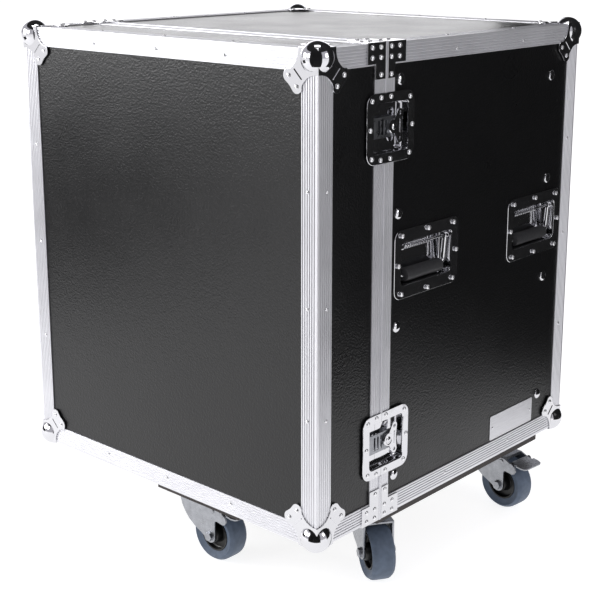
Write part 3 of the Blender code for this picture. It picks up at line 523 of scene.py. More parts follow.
def rounded(low, high, radius, steps=6):
    """A rectangle with round corners; its count of points follows from the steps alone."""
    corners = rectangle(low, high)
    inward = ((1, 1), (-1, 1), (-1, -1), (1, -1))
    points = []
    for corner, sign, start in zip(corners, inward, (180, 270, 0, 90)):
        centre = (corner[0] + sign[0] * radius, corner[1] + sign[1] * radius)
        points += arc(centre, radius, start, start + 90, steps)
    return points


def piece(name, mesh, material, body, replaces=(), smooth=35):
    """One finished piece: its mesh in place, its material, its body and the node it stands for."""
    mesh.name = name
    mesh.materials.clear()
    mesh.materials.append(material)
    mesh.shade_smooth()
    mesh.set_sharp_from_angle(angle=math.radians(smooth))
    draft = helper(mesh)
    weigh = draft.modifiers.new("flat_faces_stay_flat", "WEIGHTED_NORMAL")
    weigh.keep_sharp = True
    item = bpy.data.objects.new(name, evaluated(draft))
    item.data.name = name
    bpy.context.scene.collection.objects.link(item)
    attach(item, body)
    if replaces:
        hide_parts(*replaces)
    return item


# Materials


def add(tree, kind, links=(), inputs=(), **settings):
    """Adds a node with its settings, its input values and the links that lead into it."""
    node = tree.nodes.new(kind)
    for name, value in settings.items():
        setattr(node, name, value)
    for name, value in dict(inputs).items():
        node.inputs[name].default_value = value
    for name, source in dict(links).items():
        tree.links.new(source, node.inputs[name])
    return node


def shader(name, colour, **values):
    """A new material, its shader and the object's own coordinates."""
    material = bpy.data.materials.new(name)
    material.use_nodes = True
    tree = material.node_tree
    surface = tree.nodes["Principled BSDF"]
    surface.inputs["Base Color"].default_value = (*colour, 1)
    for label, value in values.items():
        surface.inputs[label.replace("_", " ")].default_value = value
    place = add(tree, "ShaderNodeTexCoord").outputs["Object"]
    return material, tree, surface, place


def varied(tree, place, scale, low, high, detail=3.0, stretch=None):
    """A soft noise, of a pitch in metres, mapped between two values."""
    if stretch:
        place = add(tree, "ShaderNodeMapping", {"Vector": place}, {"Scale": stretch}).outputs["Vector"]
    noise = add(tree, "ShaderNodeTexNoise", {"Vector": place}, {"Scale": 1 / scale, "Detail": detail})
    limits = {"From Min": 0.3, "From Max": 0.7, "To Min": low, "To Max": high}
    ranged = add(tree, "ShaderNodeMapRange", {"Value": noise.outputs["Fac"]}, limits)
    return ranged.outputs["Result"]


def bumped(tree, surface, height, distance, strength):
    """The shader's surface stands up by a distance in metres where the height is 1."""
    values = {"Distance": distance, "Strength": strength}
    node = add(tree, "ShaderNodeBump", {"Height": height}, values)
    tree.links.new(node.outputs["Normal"], surface.inputs["Normal"])


def clouded(tree, surface, place, scale, low, high, detail=3.0):
    """The shader's roughness drifts between two values."""
    rough = varied(tree, place, scale, low, high, detail)
    tree.links.new(rough, surface.inputs["Roughness"])


def tinted(tree, surface, factor, dark, light):
    """The shader's colour runs between two colours as the factor does."""
    mix = add(tree, "ShaderNodeMix", {"Factor": factor}, data_type="RGBA")
    mix.inputs["A"].default_value = (*dark, 1)
    mix.inputs["B"].default_value = (*light, 1)
    tree.links.new(mix.outputs["Result"], surface.inputs["Base Color"])


def shade(colour, amount):
    """The colour made darker or lighter, up to white."""
    return [min(1, c * amount) for c in colour]


def laminate_material(colour):
    """Phenolic laminate pressed with a pebble grain: black, with a soft broken sheen.

    The real pebbles are about 0.6 mm across; they are drawn 3 mm so that they show.
    """
    gloss = {"Roughness": 0.3, "Specular_IOR_Level": 0.45}
    material, tree, surface, place = shader("pebbled_laminate", colour, **gloss)
    cells = add(tree, "ShaderNodeTexVoronoi", {"Vector": place}, {"Scale": 1 / 0.003, "Randomness": 0.9})
    fine = varied(tree, place, 0.002, 0.0, 0.5)
    height = add(tree, "ShaderNodeMath", {0: cells.outputs["Distance"], 1: fine}, operation="ADD")
    bumped(tree, surface, height.outputs["Value"], 0.0003, 0.7)
    clouded(tree, surface, place, 0.09, 0.27, 0.33)
    tinted(tree, surface, varied(tree, place, 0.004, 0, 1), shade(colour, 0.7), shade(colour, 1.3))
    return material


def aluminium_material(colour):
    """Extruded aluminium, clear anodised: the layer scatters, so it stays pale where chrome turns black.

    The ribs that the eye sees are modelled; the material adds only the slow drift of the anodising.
    """
    material, tree, surface, place = shader("anodised_aluminium", colour, Metallic=0.7, Roughness=0.36)
    clouded(tree, surface, place, 0.05, 0.33, 0.4, detail=2.0)
    drift = varied(tree, place, 0.07, 0, 1, detail=2.0)
    tinted(tree, surface, drift, shade(colour, 0.95), shade(colour, 1.02))
    return material


def rivet_material(colour):
    """Pop rivets of plain aluminium: small satin domes that catch every light."""
    material, tree, surface, place = shader("satin_rivet_aluminium", colour, Metallic=0.8, Roughness=0.26)
    clouded(tree, surface, place, 0.02, 0.22, 0.3)
    tinted(tree, surface, varied(tree, place, 0.03, 0, 1), shade(colour, 0.92), shade(colour, 1.05))
    return material


def chrome_material(colour):
    """Pressed steel, bright plated: near-mirror, with faint waves left by the press and fine haze."""
    material, tree, surface, place = shader("bright_plated_steel", colour, Metallic=1.0, Roughness=0.1)
    waves = varied(tree, place, 0.018, 0.0, 1.0, detail=1.0)
    bumped(tree, surface, waves, 0.0004, 0.35)
    clouded(tree, surface, place, 0.006, 0.05, 0.11)
    return material


def zinc_material(colour):
    """Stamped steel, zinc plated and passivated: a grey satin metal with cloudy patches.

    The plating's own grain is far finer than 0.1 mm; its bumps are drawn 1.2 mm so that they show.
    """
    material, tree, surface, place = shader("zinc_plated_steel", colour, Metallic=1.0, Roughness=0.3)
    clouds = varied(tree, place, 0.009, 0, 1)
    tinted(tree, surface, clouds, shade(colour, 0.82), shade(colour, 1.05))
    clouded(tree, surface, place, 0.004, 0.24, 0.4)
    bumped(tree, surface, varied(tree, place, 0.0012, 0, 1), 0.00004, 0.6)
    return material


def tyre_material(colour):
    """Cast grey-blue rubber: matt, with a faint mould grain and soft paler clouds all over.

    The mould's grain is about 0.1 mm; it is drawn 0.9 mm so that it shows.
    """
    gloss = {"Roughness": 0.55, "Specular_IOR_Level": 0.4}
    material, tree, surface, place = shader("cast_grey_rubber", colour, **gloss)
    tinted(tree, surface, varied(tree, place, 0.007, 0, 1), shade(colour, 0.85), shade(colour, 1.12))
    bumped(tree, surface, varied(tree, place, 0.0009, 0, 1), 0.00008, 0.7)
    return material


def grip_material(colour):
    """Moulded handle rubber: near-black, matt, with a fine spark-eroded grain.

    The real grain is about 0.1 mm; it is drawn 0.8 mm so that it shows.
    """
    gloss = {"Roughness": 0.5, "Specular_IOR_Level": 0.45}
    material, tree, surface, place = shader("moulded_grip_rubber", colour, **gloss)
    tinted(tree, surface, varied(tree, place, 0.004, 0, 1), shade(colour, 0.8), shade(colour, 1.25))
    bumped(tree, surface, varied(tree, place, 0.0008, 0, 1), 0.00008, 0.8)
    return material


def hub_material():
    """Moulded polyamide hub: black with a soft gloss and a trace of flow marks.

    The mould's grain is about 0.1 mm; it is drawn 1 mm so that it shows.
    """
    colour = linear("#0b0b0c")
    material, tree, surface, place = shader("moulded_polyamide", colour, Roughness=0.4)
    clouded(tree, surface, place, 0.005, 0.33, 0.5)
    bumped(tree, surface, varied(tree, place, 0.001, 0, 1), 0.00005, 0.5)
    return material


def board_material(colour):
    """Birch plywood, stained brown-black: a dull face with long dark grain.

    The grain lines are about 2 mm apart.
    """
    material, tree, surface, place = shader("stained_plywood", colour, Roughness=0.6)
    grain = varied(tree, place, 0.002, 0, 1, stretch=(0.06, 1, 1))
    tinted(tree, surface, grain, shade(colour, 0.55), shade(colour, 1.5))
    bumped(tree, surface, grain, 0.0001, 0.6)
    return material


def enamel_material():
    """Folded steel in black stoving enamel: a fine orange peel with a satin shine.

    The waves of the peel are about 1 mm apart, as on a real panel.
    """
    colour = linear("#1e1e20")
    material, tree, surface, place = shader("black_stoving_enamel", colour, Roughness=0.35)
    bumped(tree, surface, varied(tree, place, 0.0011, 0, 1), 0.00008, 0.6)
    clouded(tree, surface, place, 0.02, 0.3, 0.42)
    return material


def plate_material(colour):
    """Brushed aluminium label stock: pale satin metal with fine level scratches.

    The real scratches are less than 0.1 mm apart; they are drawn 0.7 mm apart so that they show.
    """
    material, tree, surface, place = shader("brushed_label_aluminium", colour, Metallic=1.0, Roughness=0.38)
    brushed = varied(tree, place, 0.0007, 0, 1, stretch=(1, 0.04, 1))
    tinted(tree, surface, brushed, shade(colour, 0.86), shade(colour, 1.0))
    bumped(tree, surface, brushed, 0.00003, 0.5)
    return material


FINISHES = {}


def finish(name):
    """One of the finishes, made the first time that a piece asks for it."""
    if name not in FINISHES:
        colours = bpy.context.scene.case_colours
        makers = {
            "laminate": lambda: laminate_material(colours.laminate),
            "aluminium": lambda: aluminium_material(colours.aluminium),
            "chrome": lambda: chrome_material(colours.chrome),
            "zinc": lambda: zinc_material(colours.zinc),
            "tyre": lambda: tyre_material(colours.tyre),
            "rivet": lambda: rivet_material(colours.rivets),
            "rubber": lambda: grip_material(colours.rubber),
            "hub": hub_material,
            "board": lambda: board_material(colours.board),
            "enamel": enamel_material,
            "plate": lambda: plate_material(colours.aluminium),
        }
        FINISHES[name] = makers[name]()
    return FINISHES[name]


# Extrusions


def angle_profile(sizes):
    """One edge extrusion, as (p, q): the distances in from the two outer faces."""
    pitch = GROOVED_PART / sizes.grooves
    width = pitch * GROOVE_SHARE
    depth = sizes.groove_depth
    slope = width * GROOVE_SLOPE
    leg = [(LEG, SHEET), (LEG, 0.0004), (LEG - 0.0004, 0)]
    for index in range(sizes.grooves):
        start = LEG - 0.0016 - pitch * index
        end = start - width
        leg += [(start, 0), (start - slope, depth), (end + slope, depth), (end, 0)]
    nose = [(0.0009, 0), (0.00045, 0.00012)]
    other = [(q, p) for p, q in reversed(leg + nose)]
    return [*leg, *nose, (0.00022, 0.00022), *other, (SHEET, SHEET)]


def edge_bar(sizes, axis, low, high, corner, signs):
    """An edge extrusion between two places along an axis, at a corner of the case."""
    points = [(corner[0] - signs[0] * p, corner[1] - signs[1] * q) for p, q in angle_profile(sizes)]
    places = {
        "X": lambda along, p: (along, *p),
        "Y": lambda along, p: (p[0], along, p[1]),
        "Z": lambda along, p: (*p, along),
    }
    return lofted([[places[axis](along, p) for p in points] for along in (low, high)])


def long_bars(sizes, low, high):
    """The four extrusions that run front to back."""
    bars = []
    for sign in (1, -1):
        for height, up in ((BASE, -1), (TOP, 1)):
            bars.append(edge_bar(sizes, "Y", low, high, (sign * HALF_WIDTH, height), (sign, up)))
    return bars


def end_bars(sizes, y_face, out):
    """The four extrusions round the front or the back face."""
    across = HALF_WIDTH - CORNER_CLEAR
    bars = []
    for height, up in ((BASE, -1), (TOP, 1)):
        bars.append(edge_bar(sizes, "X", -across, across, (y_face, height), (out, up)))
    for sign in (1, -1):
        low, high = BASE + CORNER_CLEAR, TOP - CORNER_CLEAR
        bars.append(edge_bar(sizes, "Z", low, high, (sign * HALF_WIDTH, y_face), (sign, out)))
    return bars


def flange_grooves(sizes, start, end):
    """Grooves across a seam extrusion's flange, as (inset, distance from the seam)."""
    pitch = GROOVED_PART / sizes.grooves
    width = pitch * GROOVE_SHARE
    depth = sizes.groove_depth
    slope = width * GROOVE_SLOPE
    points = []
    for index in range(int((end - start) / pitch)):
        near = start + pitch * (index + 0.25)
        far = near + width
        points += [(0, near), (depth, near + slope), (depth, far - slope), (0, far)]
    return points


def tongue_profile(sizes):
    """The body's seam extrusion, as (inset from the outer plane, distance behind the seam)."""
    inner = INNER + GAP + SHEET
    near, far = inner / 2 - 0.0018, inner / 2 + 0.0018
    outer = [(0, LIP_WIDTH), *flange_grooves(sizes, LIP_WIDTH, BODY_FLANGE), (0, BODY_FLANGE)]
    return [
        (-LIP_HEIGHT * 0.6, 0),
        (near, 0),
        (near, -TONGUE),
        (far, -TONGUE),
        (far, 0),
        (inner, 0),
        (inner, 0.012),
        (inner - SHEET, 0.012),
        (inner - SHEET, SHEET),
        (SHEET, SHEET),
        (SHEET, BODY_FLANGE),
        *reversed(outer),
        (-LIP_HEIGHT * 0.7, LIP_WIDTH),
        (-LIP_HEIGHT, LIP_WIDTH * 0.7),
        (-LIP_HEIGHT, LIP_WIDTH * 0.25),
    ]


def groove_profile(sizes):
    """The lid's seam extrusion, as (inset, distance in front of the seam face)."""
    inner = INNER + GAP + SHEET
    near, far = inner / 2 - 0.0024, inner / 2 + 0.0024
    outer = [(0, LIP_WIDTH), *flange_grooves(sizes, LIP_WIDTH, LID_FLANGE), (0, LID_FLANGE)]
    return [
        (-LIP_HEIGHT * 0.6, 0),
        (-LIP_HEIGHT, LIP_WIDTH * 0.25),
        (-LIP_HEIGHT, LIP_WIDTH * 0.7),
        (-LIP_HEIGHT * 0.7, LIP_WIDTH),
        *outer,
        (SHEET, LID_FLANGE),
        (SHEET, SEAM_BLOCK),
        (inner - SHEET, SEAM_BLOCK),
        (inner - SHEET, SEAM_BLOCK + 0.006),
        (inner, SEAM_BLOCK + 0.006),
        (inner, 0),
        (far, 0),
        (far, TONGUE),
        (near, TONGUE),
        (near, 0),
    ]


def seam_ring(profile, y_face, out):
    """A seam extrusion mitred round all four sides, cut away where the latch dishes sit."""
    rings = []
    for inset, v in profile:
        across, up = HALF_WIDTH - inset, TOP - MIDDLE - inset
        corners = rectangle((-across, MIDDLE - up), (across, MIDDLE + up))
        rings.append([(x, y_face + out * v, z) for x, z in corners])
    ring = joined([lofted(rings, closed=True)])
    tools = []
    for sign in SIDES.values():
        for height in LATCH_HEIGHTS.values():
            for inset, half in ((INNER, LATCH_NOTCH), (GAP, LATCH_HALF + GAP)):
                ends = sorted((sign * (HALF_WIDTH + 0.02), sign * (HALF_WIDTH - inset)))
                low = (ends[0], y_face - LEG, height - half)
                tools.append(block(low, (ends[1], y_face + LEG, height + half)))
    return cut(ring, tools)


# Ball corners and seam brackets


def corner_leg():
    """The outline of one leg of a ball corner on its face, the same both sides of the diagonal."""
    edge = GAP / 3 - SHEET
    half = [(ARCH, edge), (0.0290, 0.005), (0.0300, 0.010), (0.0323, 0.0148)]
    half += [(0.0362, 0.0192), (0.0405, 0.0226), (0.0437, 0.0236)]
    half += arc((FAR_RIVET, NEAR_RIVET), LOBE, -66, 62, 8)
    half.append((0.0432, 0.0413))
    return [(edge, edge), *half, *[(b, a) for a, b in reversed(half)]]


def ball(radius, rings, steps):
    """A sphere as a turned half circle."""
    angles = [math.pi * index / rings for index in range(rings + 1)]
    profile = [(radius * math.sin(angle), -radius * math.cos(angle)) for angle in angles]
    return turned("Z", profile, steps)


def ball_corner():
    """A ball corner at the origin, its three legs running along +X, +Y and +Z.

    A pressed crease runs across each leg where it leaves the ball.
    """
    parts = []
    ends = [(CREASE_END, CREASE - CREASE_END, -SHEET), (CREASE - CREASE_END, CREASE_END, -SHEET)]
    for axis, order in (("Z", (0, 1, 2)), ("X", (2, 0, 1)), ("Y", (0, 2, 1))):
        parts.append(eased(flat(axis, -SHEET, SUNK, corner_leg()), 0.0005))
        crease = tube(ends, CREASE_RADIUS, 8)
        for vertex in crease.vertices:
            vertex.co = [vertex.co[index] for index in order]
        parts.append(crease)
    parts.append(moved(ball(BALL_RADIUS, 20, 32), BALL_INSET, BALL_INSET, BALL_INSET))
    return joined(parts)


def ball_corner_set(y_face, inward):
    """The four ball corners of the front or the back face."""
    corner = ball_corner()
    corners = []
    for sign in (1, -1):
        for height, up in ((BASE, 1), (TOP, -1)):
            shape = mirrored(corner, -sign, inward, up)
            corners.append(moved(shape, sign * HALF_WIDTH, y_face, height))
    return joined(corners)


def bracket(arm, lip):
    """A seam bracket at the origin: its seam edge at y = 0, the case's edge along +Y."""
    edge = GAP / 3 - SHEET
    side = [
        (0, edge),
        (BRACKET_LENGTH, edge),
        (BRACKET_LENGTH, BRACKET_WIDTH),
        (arm, BRACKET_WIDTH),
        (arm, BRACKET_DROP),
        (0, BRACKET_DROP),
    ]
    top = rectangle((edge, 0), (lip, BRACKET_LENGTH)) if lip else [(b, a) for a, b in side]
    plates = [flat("X", -SHEET, SUNK, side), flat("Z", -SHEET, SUNK, top)]
    return joined([eased(plate, 0.0004) for plate in plates])


def seam_bracket_set(y_face, arm, out):
    """The four seam brackets on one side of the seam; the lower two only lap under the base."""
    start = y_face + out * (LIP_WIDTH + GAP)
    brackets = []
    for height, up, lip in ((TOP, -1, 0), (BASE, 1, LOW_BRACKET_LIP)):
        shape = bracket(arm, lip)
        for sign in (1, -1):
            bent = mirrored(shape, -sign, out, up)
            brackets.append(moved(bent, sign * HALF_WIDTH, start, height))
    return joined(brackets)


# Pressed dishes


def dish(outer, outer_radius, pocket, pocket_radius, under, depth, sheet=0.0012):
    """A pressed dish on the right-hand side: a flange round a pocket, as (y, z) low and high corners.

    Its section is a list of rings, each given as how far it lies outside its box and its distance out.
    """
    over, floor = under + sheet, -depth
    back = [
        (sheet - 0.004, floor - sheet),
        (sheet - 0.0012, floor - sheet),
        (sheet, floor),
        (sheet, under),
    ]
    rim = [(-0.0004, under), (0, under + 0.0004), (0, over - 0.0004), (-0.0005, over)]
    front = [
        (0.0018, over),
        (0.0007, over - 0.0003),
        (0.0001, over - 0.0011),
        (0, under - 0.002),
        (-0.0004, floor + 0.0022),
        (-0.0012, floor + 0.0007),
        (-0.0026, floor),
    ]
    rings = []
    for box, radius, section in (
        (pocket, pocket_radius, back),
        (outer, outer_radius, rim),
        (pocket, pocket_radius, front),
    ):
        for grow, u in section:
            low = (box[0][0] - grow, box[0][1] - grow)
            high = (box[1][0] + grow, box[1][1] + grow)
            outline = rounded(low, high, max(radius + grow, 0.0008))
            rings.append([(u, *point) for point in outline])
    return joined([lofted(rings)])


def half_of(mesh, y, keep):
    """The part of a mesh on one side of a plane square to Y, closed there."""
    work = bmesh.new()
    work.from_mesh(mesh)
    every = work.verts[:] + work.edges[:] + work.faces[:]
    place, normal = (0, y, 0), (0, 1, 0)
    made = bmesh.ops.bisect_plane(
        work, geom=every, plane_co=place, plane_no=normal, clear_outer=keep < 0, clear_inner=keep > 0
    )
    edges = [item for item in made["geom_cut"] if isinstance(item, bmesh.types.BMEdge)]
    bmesh.ops.triangle_fill(work, edges=edges, use_beauty=True)
    bmesh.ops.recalc_face_normals(work, faces=work.faces)
    return plain(work)


# Latches


def hook_shape():
    """The hook plate with its three cross slots and its turned-down lip, pivot at the origin."""
    under, over = -0.0058, -0.0043
    nose, tail, half = -0.0336, 0.0101, 0.0125
    slot_start, slot_pitch, slot_width, slot_half = -0.0262, 0.0066, 0.0034, 0.0088
    holes = [rounded((-0.0036, -0.0036), (0.0086, 0.0036), 0.0008, 2)]
    for index in range(3):
        start = slot_start + index * slot_pitch
        holes.append(rounded((start, -slot_half), (start + slot_width, slot_half), 0.0008, 2))
    outline = rounded((nose - 0.0015, -half), (tail, half), 0.002, 3)
    plate = eased(flat("X", under, over, outline, holes), 0.0003)
    low = (under - 0.0005, nose - 0.0015, -half + 0.001)
    lip = eased(block(low, (over - 0.0003, nose, half - 0.001)), 0.0003)
    return joined([plate, lip])


def butterfly_shape():
    """The turning butterfly: a hub with a raised boss and two ringed wings, pivot at the origin."""
    hub = [(0, -0.0037), (0.0088, -0.0037), (0.009, -0.0034), (0.009, -0.0018), (0.0084, -0.0010)]
    hub += [(0.0062, -0.0010), (0.0056, -0.0014), (0.0042, -0.0014), (0.0038, -0.0009)]
    hub += [(0.0024, -0.0003), (0, 0.0)]
    across, up, lobe, ring = 0.0115, 0.0155, 0.0052, 0.0024
    half = [(0.0150, 0.0), (0.0152, 0.0060), *arc((across, up), lobe, 0, 130, 10)]
    half += [(0.0012, 0.0083), (-0.0040, 0.0070)]
    outline = [(y, -z) for y, z in reversed(half[1:])] + half
    holes = [circle((across, sign * up), ring, 16) for sign in (1, -1)]
    rib = rounded((0.0112, -0.0085), (0.0132, 0.0085), 0.0009, 4)
    return joined([
        turned("X", hub, 32),
        eased(flat("X", -0.0029, -0.0013, outline, holes), 0.0003),
        eased(flat("X", -0.0014, -0.0006, rib), 0.0003),
    ])


def keeper_shape():
    """The bridge on the lid's half that the hook's lip drops behind."""
    return eased(block((-0.0099, -0.0145, -0.011), (-0.0066, -0.0115, 0.011)), 0.0006, 3)


def post_shape():
    """The butterfly's post with its eccentric's foot."""
    foot = [(0, -0.0099), (0.0062, -0.0099), (0.0062, -0.0082)]
    stem = [(0.003, -0.0075), (0.003, -0.0040), (0, -0.0040)]
    return turned("X", foot + stem, 24)


# Handles


def bail_shape():
    """The steel loop: two arms with eyes round the hinge rod, bent into the grip's core."""
    turn = 0.009
    points = []
    for sign in (-1, 1):
        start = Vector((0, sign * BAIL_ARM, -0.0032))
        end = Vector((BAIL_LEAN, sign * BAIL_ARM, -BAIL_DROP + turn))
        leg = [tuple(start.lerp(end, part)) for part in (0, 0.3, 0.6, 0.85)]
        bend = []
        for y, z in arc((0, 0), turn, 0, 90, 6):
            bend.append((BAIL_LEAN, sign * (BAIL_ARM - turn + y), -BAIL_DROP + turn - z))
        arm = leg + bend
        points += arm if sign < 0 else reversed(arm)
    low, high = BAIL_ARM - BAIL_RADIUS, BAIL_ARM + BAIL_RADIUS
    ring = [(0.002, low), (0.0040, low), (0.0045, low + 0.0006)]
    ring += [(0.0045, high - 0.0006), (0.0040, high), (0.002, high)]
    eye = turned("Y", ring, 24, closed=True)
    return joined([tube(points, BAIL_RADIUS, 16), eye, mirrored(eye, 1, -1, 1)])


def grip_shape():
    """The rubber sleeve round the loop's straight, with rounded ends and one shallow waist."""
    bore, end = 0.0032, 0.0380
    half = [(bore, end), (GRIP_RADIUS * 0.72, end), (GRIP_RADIUS * 0.93, end - 0.0010)]
    half += [(GRIP_RADIUS, end - 0.0030), (GRIP_RADIUS, 0.020), (GRIP_RADIUS * 0.97, 0.014)]
    return moved(turned("Y", both_ways(half), 32, closed=True), BAIL_LEAN, 0, -BAIL_DROP)


def spring_shape(sizes):
    """The return spring round the hinge rod, one unbroken helix that starts at the loop's arm."""
    start = -BAIL_ARM + BAIL_RADIUS
    count = sizes.spring_turns * 16
    points = []
    for index in range(count + 1):
        angle = 2 * math.pi * sizes.spring_turns * index / count
        y = start + SPRING_LENGTH * index / count
        points.append((SPRING_RADIUS * math.cos(angle), y, SPRING_RADIUS * math.sin(angle)))
    return joined([tube(points, SPRING_WIRE, 8)])


# Rivets


def rivet_tree(name, material):
    """Geometry Nodes that set a domed head, turned to its face, on every point of a mesh."""
    tree = bpy.data.node_groups.new(name, "GeometryNodeTree")
    tree.interface.new_socket("Geometry", in_out="INPUT", socket_type="NodeSocketGeometry")
    for label in ("Head Radius", "Head Height"):
        made = tree.interface.new_socket(label, in_out="INPUT", socket_type="NodeSocketFloat")
        made.subtype = "DISTANCE"
    tree.interface.new_socket("Geometry", in_out="OUTPUT", socket_type="NodeSocketGeometry")
    given = add(tree, "NodeGroupInput")
    dome = add(tree, "GeometryNodeMeshUVSphere", inputs={"Segments": 14, "Rings": 8, "Radius": 1.0})
    radius, height = given.outputs["Head Radius"], given.outputs["Head Height"]
    reach = add(tree, "ShaderNodeCombineXYZ", {"X": radius, "Y": radius, "Z": height})
    shaped = {"Geometry": dome.outputs["Mesh"], "Scale": reach.outputs["Vector"]}
    head = add(tree, "GeometryNodeTransform", shaped)
    axis = add(tree, "GeometryNodeInputNamedAttribute", inputs={"Name": "out"}, data_type="FLOAT_VECTOR")
    size = add(tree, "GeometryNodeInputNamedAttribute", inputs={"Name": "size"}, data_type="FLOAT")
    turn = add(tree, "FunctionNodeAlignRotationToVector", {"Vector": axis.outputs["Attribute"]}, axis="Z")
    every = add(tree, "GeometryNodeInstanceOnPoints", {
        "Points": given.outputs["Geometry"],
        "Instance": head.outputs["Geometry"],
        "Rotation": turn.outputs["Rotation"],
        "Scale": size.outputs["Attribute"],
    })
    real = add(tree, "GeometryNodeRealizeInstances", {"Geometry": every.outputs["Instances"]})
    metal = {"Material": material}
    coloured = add(tree, "GeometryNodeSetMaterial", {"Geometry": real.outputs["Geometry"]}, metal)
    add(tree, "NodeGroupOutput", {"Geometry": coloured.outputs["Geometry"]})
    return tree


def heads(name, places, radius, height, material, body):
    """One mesh of domed heads for a body. Each place is (point, outward direction, size)."""
    mesh = bpy.data.meshes.new(name)
    mesh.from_pydata([place for place, _, _ in places], [], [])
    mesh.attributes.new("out", "FLOAT_VECTOR", "POINT")
    mesh.attributes.new("size", "FLOAT", "POINT")
    for index, (_, direction, scale) in enumerate(places):
        mesh.attributes["out"].data[index].vector = direction
        mesh.attributes["size"].data[index].value = scale
    item = helper(mesh)
    step = item.modifiers.new("heads", "NODES")
    tree = rivet_tree(f"{name}_tree", material)
    step.node_group = tree
    sockets = [socket for socket in tree.interface.items_tree if socket.in_out == "INPUT"]
    given = {socket.name: socket.identifier for socket in sockets}
    step[given["Head Radius"]] = radius
    step[given["Head Height"]] = height
    return piece(name, evaluated(item), material, body, smooth=50)


def mirror_places(places):
    """The places, and the same ones on the left-hand side."""
    return places + [((-p[0], p[1], p[2]), (-d[0], d[1], d[2]), s) for p, d, s in places]


def corner_rivets(y_face, inward):
    """Two rivets on each leg of the four ball corners at one end, on the right-hand side."""
    places = []
    for height, up in ((BASE, 1), (TOP, -1)):
        for near, far in ((NEAR_RIVET, FAR_RIVET), (FAR_RIVET, NEAR_RIVET)):
            side = (HALF_WIDTH + SHEET, y_face + inward * near, height + up * far)
            end = (HALF_WIDTH - near, y_face - inward * SHEET, height + up * far)
            cap = (HALF_WIDTH - near, y_face + inward * far, height - up * SHEET)
            places += [(side, OUTWARD, 1), (end, (0, -inward, 0), 1), (cap, (0, 0, -up), 1)]
    return places


def bracket_rivets(points, y_face, out):
    """Rivets of the seam brackets at the right-hand side, given as (along, in from the edge).

    The row nearest the edge is on the side faces only.
    """
    places = []
    for along, inset in points:
        y = y_face + out * along
        places.append(((HALF_WIDTH + SHEET, y, TOP - inset), OUTWARD, 1))
        places.append(((HALF_WIDTH + SHEET, y, BASE + inset), OUTWARD, 1))
        if inset > RIDGE_RIVET:
            places.append(((HALF_WIDTH - inset, y, TOP + SHEET), (0, 0, 1), 1))
    return places


def edge_rivets(y_face, inward, runs=()):
    """Smaller rivets round one end face, and at the given places of the long extrusions."""
    places = []
    inset, end = EDGE_RIVET_INSET, (0, -inward, 0)
    for step in (-1, 0, 1):
        z = MIDDLE + step * EDGE_RIVET_RISE
        places.append(((HALF_WIDTH, y_face + inward * inset, z), OUTWARD))
        places.append(((HALF_WIDTH - inset, y_face, z), end))
    for height, up in ((BASE, 1), (TOP, -1)):
        for across in EDGE_RIVETS_ACROSS:
            places.append(((across, y_face, height + up * inset), end))
            places.append(((across, y_face + inward * inset, height), (0, 0, -up)))
        for y in runs:
            places.append(((HALF_WIDTH, y, height + up * inset), OUTWARD))
            places.append(((HALF_WIDTH - inset, y, height), (0, 0, -up)))
    return [(place, direction, EDGE_RIVET_SIZE) for place, direction in places]


def latch_rivets(spots):
    """Rivets of one half of the latch dishes, on the right-hand side."""
    places = []
    for height in LATCH_HEIGHTS.values():
        for v, h in spots:
            for sign in (1, -1) if h else (1,):
                places.append(((HALF_WIDTH + SHEET, SEAM + v, height + sign * h), OUTWARD, 1))
    return places


def handle_rivets():
    """Rivets of the handle dishes, on the right-hand side."""
    places = []
    for v in HANDLE_BEHIND_SEAM.values():
        for y, z in HANDLE_RIVETS:
            place = (HALF_WIDTH + SHEET, SEAM + v + y, HANDLE_HEIGHT + z)
            places.append((place, OUTWARD, 1))
    return places


# Casters


def both_ways(half):
    """A section's far half, as (radius, along), and the same one mirrored before it."""
    return [(radius, -along) for radius, along in half] + list(reversed(half))


def placed(mesh, name):
    """A caster's shape, made with its trail along +X, set under its kingpin."""
    x, y, yaw, _ = CASTERS[name]
    turned_by(mesh, yaw, "Z")
    return moved(mesh, x, y, 0)


def tyre_shape():
    """The tyre, with softly rounded shoulders."""
    half = [(0.0236, 0.0118), (0.0300, 0.0140), (0.0326, 0.0159), (0.0335, 0.0158)]
    half += [(0.0342, 0.0152), (0.0368, 0.0116), (0.0373, 0.0100), (WHEEL_RADIUS, 0.006)]
    return moved(turned("Y", both_ways(half), 72, closed=True), TRAIL, 0, WHEEL_RADIUS)


def hub_shape():
    """The wheel's hub: a boss, a deep ring-shaped recess and a rim."""
    half = [(0.0043, 0.0179), (0.0098, 0.0179), (0.0106, 0.0172), (0.0118, 0.0140)]
    half += [(0.0124, 0.0070), (0.0136, 0.0058), (0.0200, 0.0058), (0.0212, 0.0068)]
    half += [(0.0218, 0.0126), (0.0236, 0.0130), (0.0244, 0.0116)]
    return moved(turned("Y", both_ways(half), 48, closed=True), TRAIL, 0, WHEEL_RADIUS)


def leg_outline(braked):
    """One side of a fork, as (distance along the trail, height); a brake's has a lug for its pins."""
    top = FORK_TOP + FORK_SHEET - 0.0001
    points = [(-0.0216, top), (-0.0214, top - 0.006), (-0.0190, top - 0.0135)]
    points += [(-0.0138, 0.0600), (-0.0060, 0.0512), (0.0060, 0.0432), (0.0180, 0.0378)]
    points += arc((TRAIL, WHEEL_RADIUS), EYE_RADIUS, 205, 360, 12)
    if braked:
        points += [(LEG_NOSE, 0.0590), (LEG_NOSE + 0.0012, 0.0618), (LEG_NOSE + 0.004, 0.0628)]
        points += [(0.0600, 0.0608), (0.0640, 0.0625), (0.0660, 0.0662), (0.0655, 0.0702)]
        points += [(0.0630, 0.0743)]
    points.append((LEG_NOSE, top))
    return points


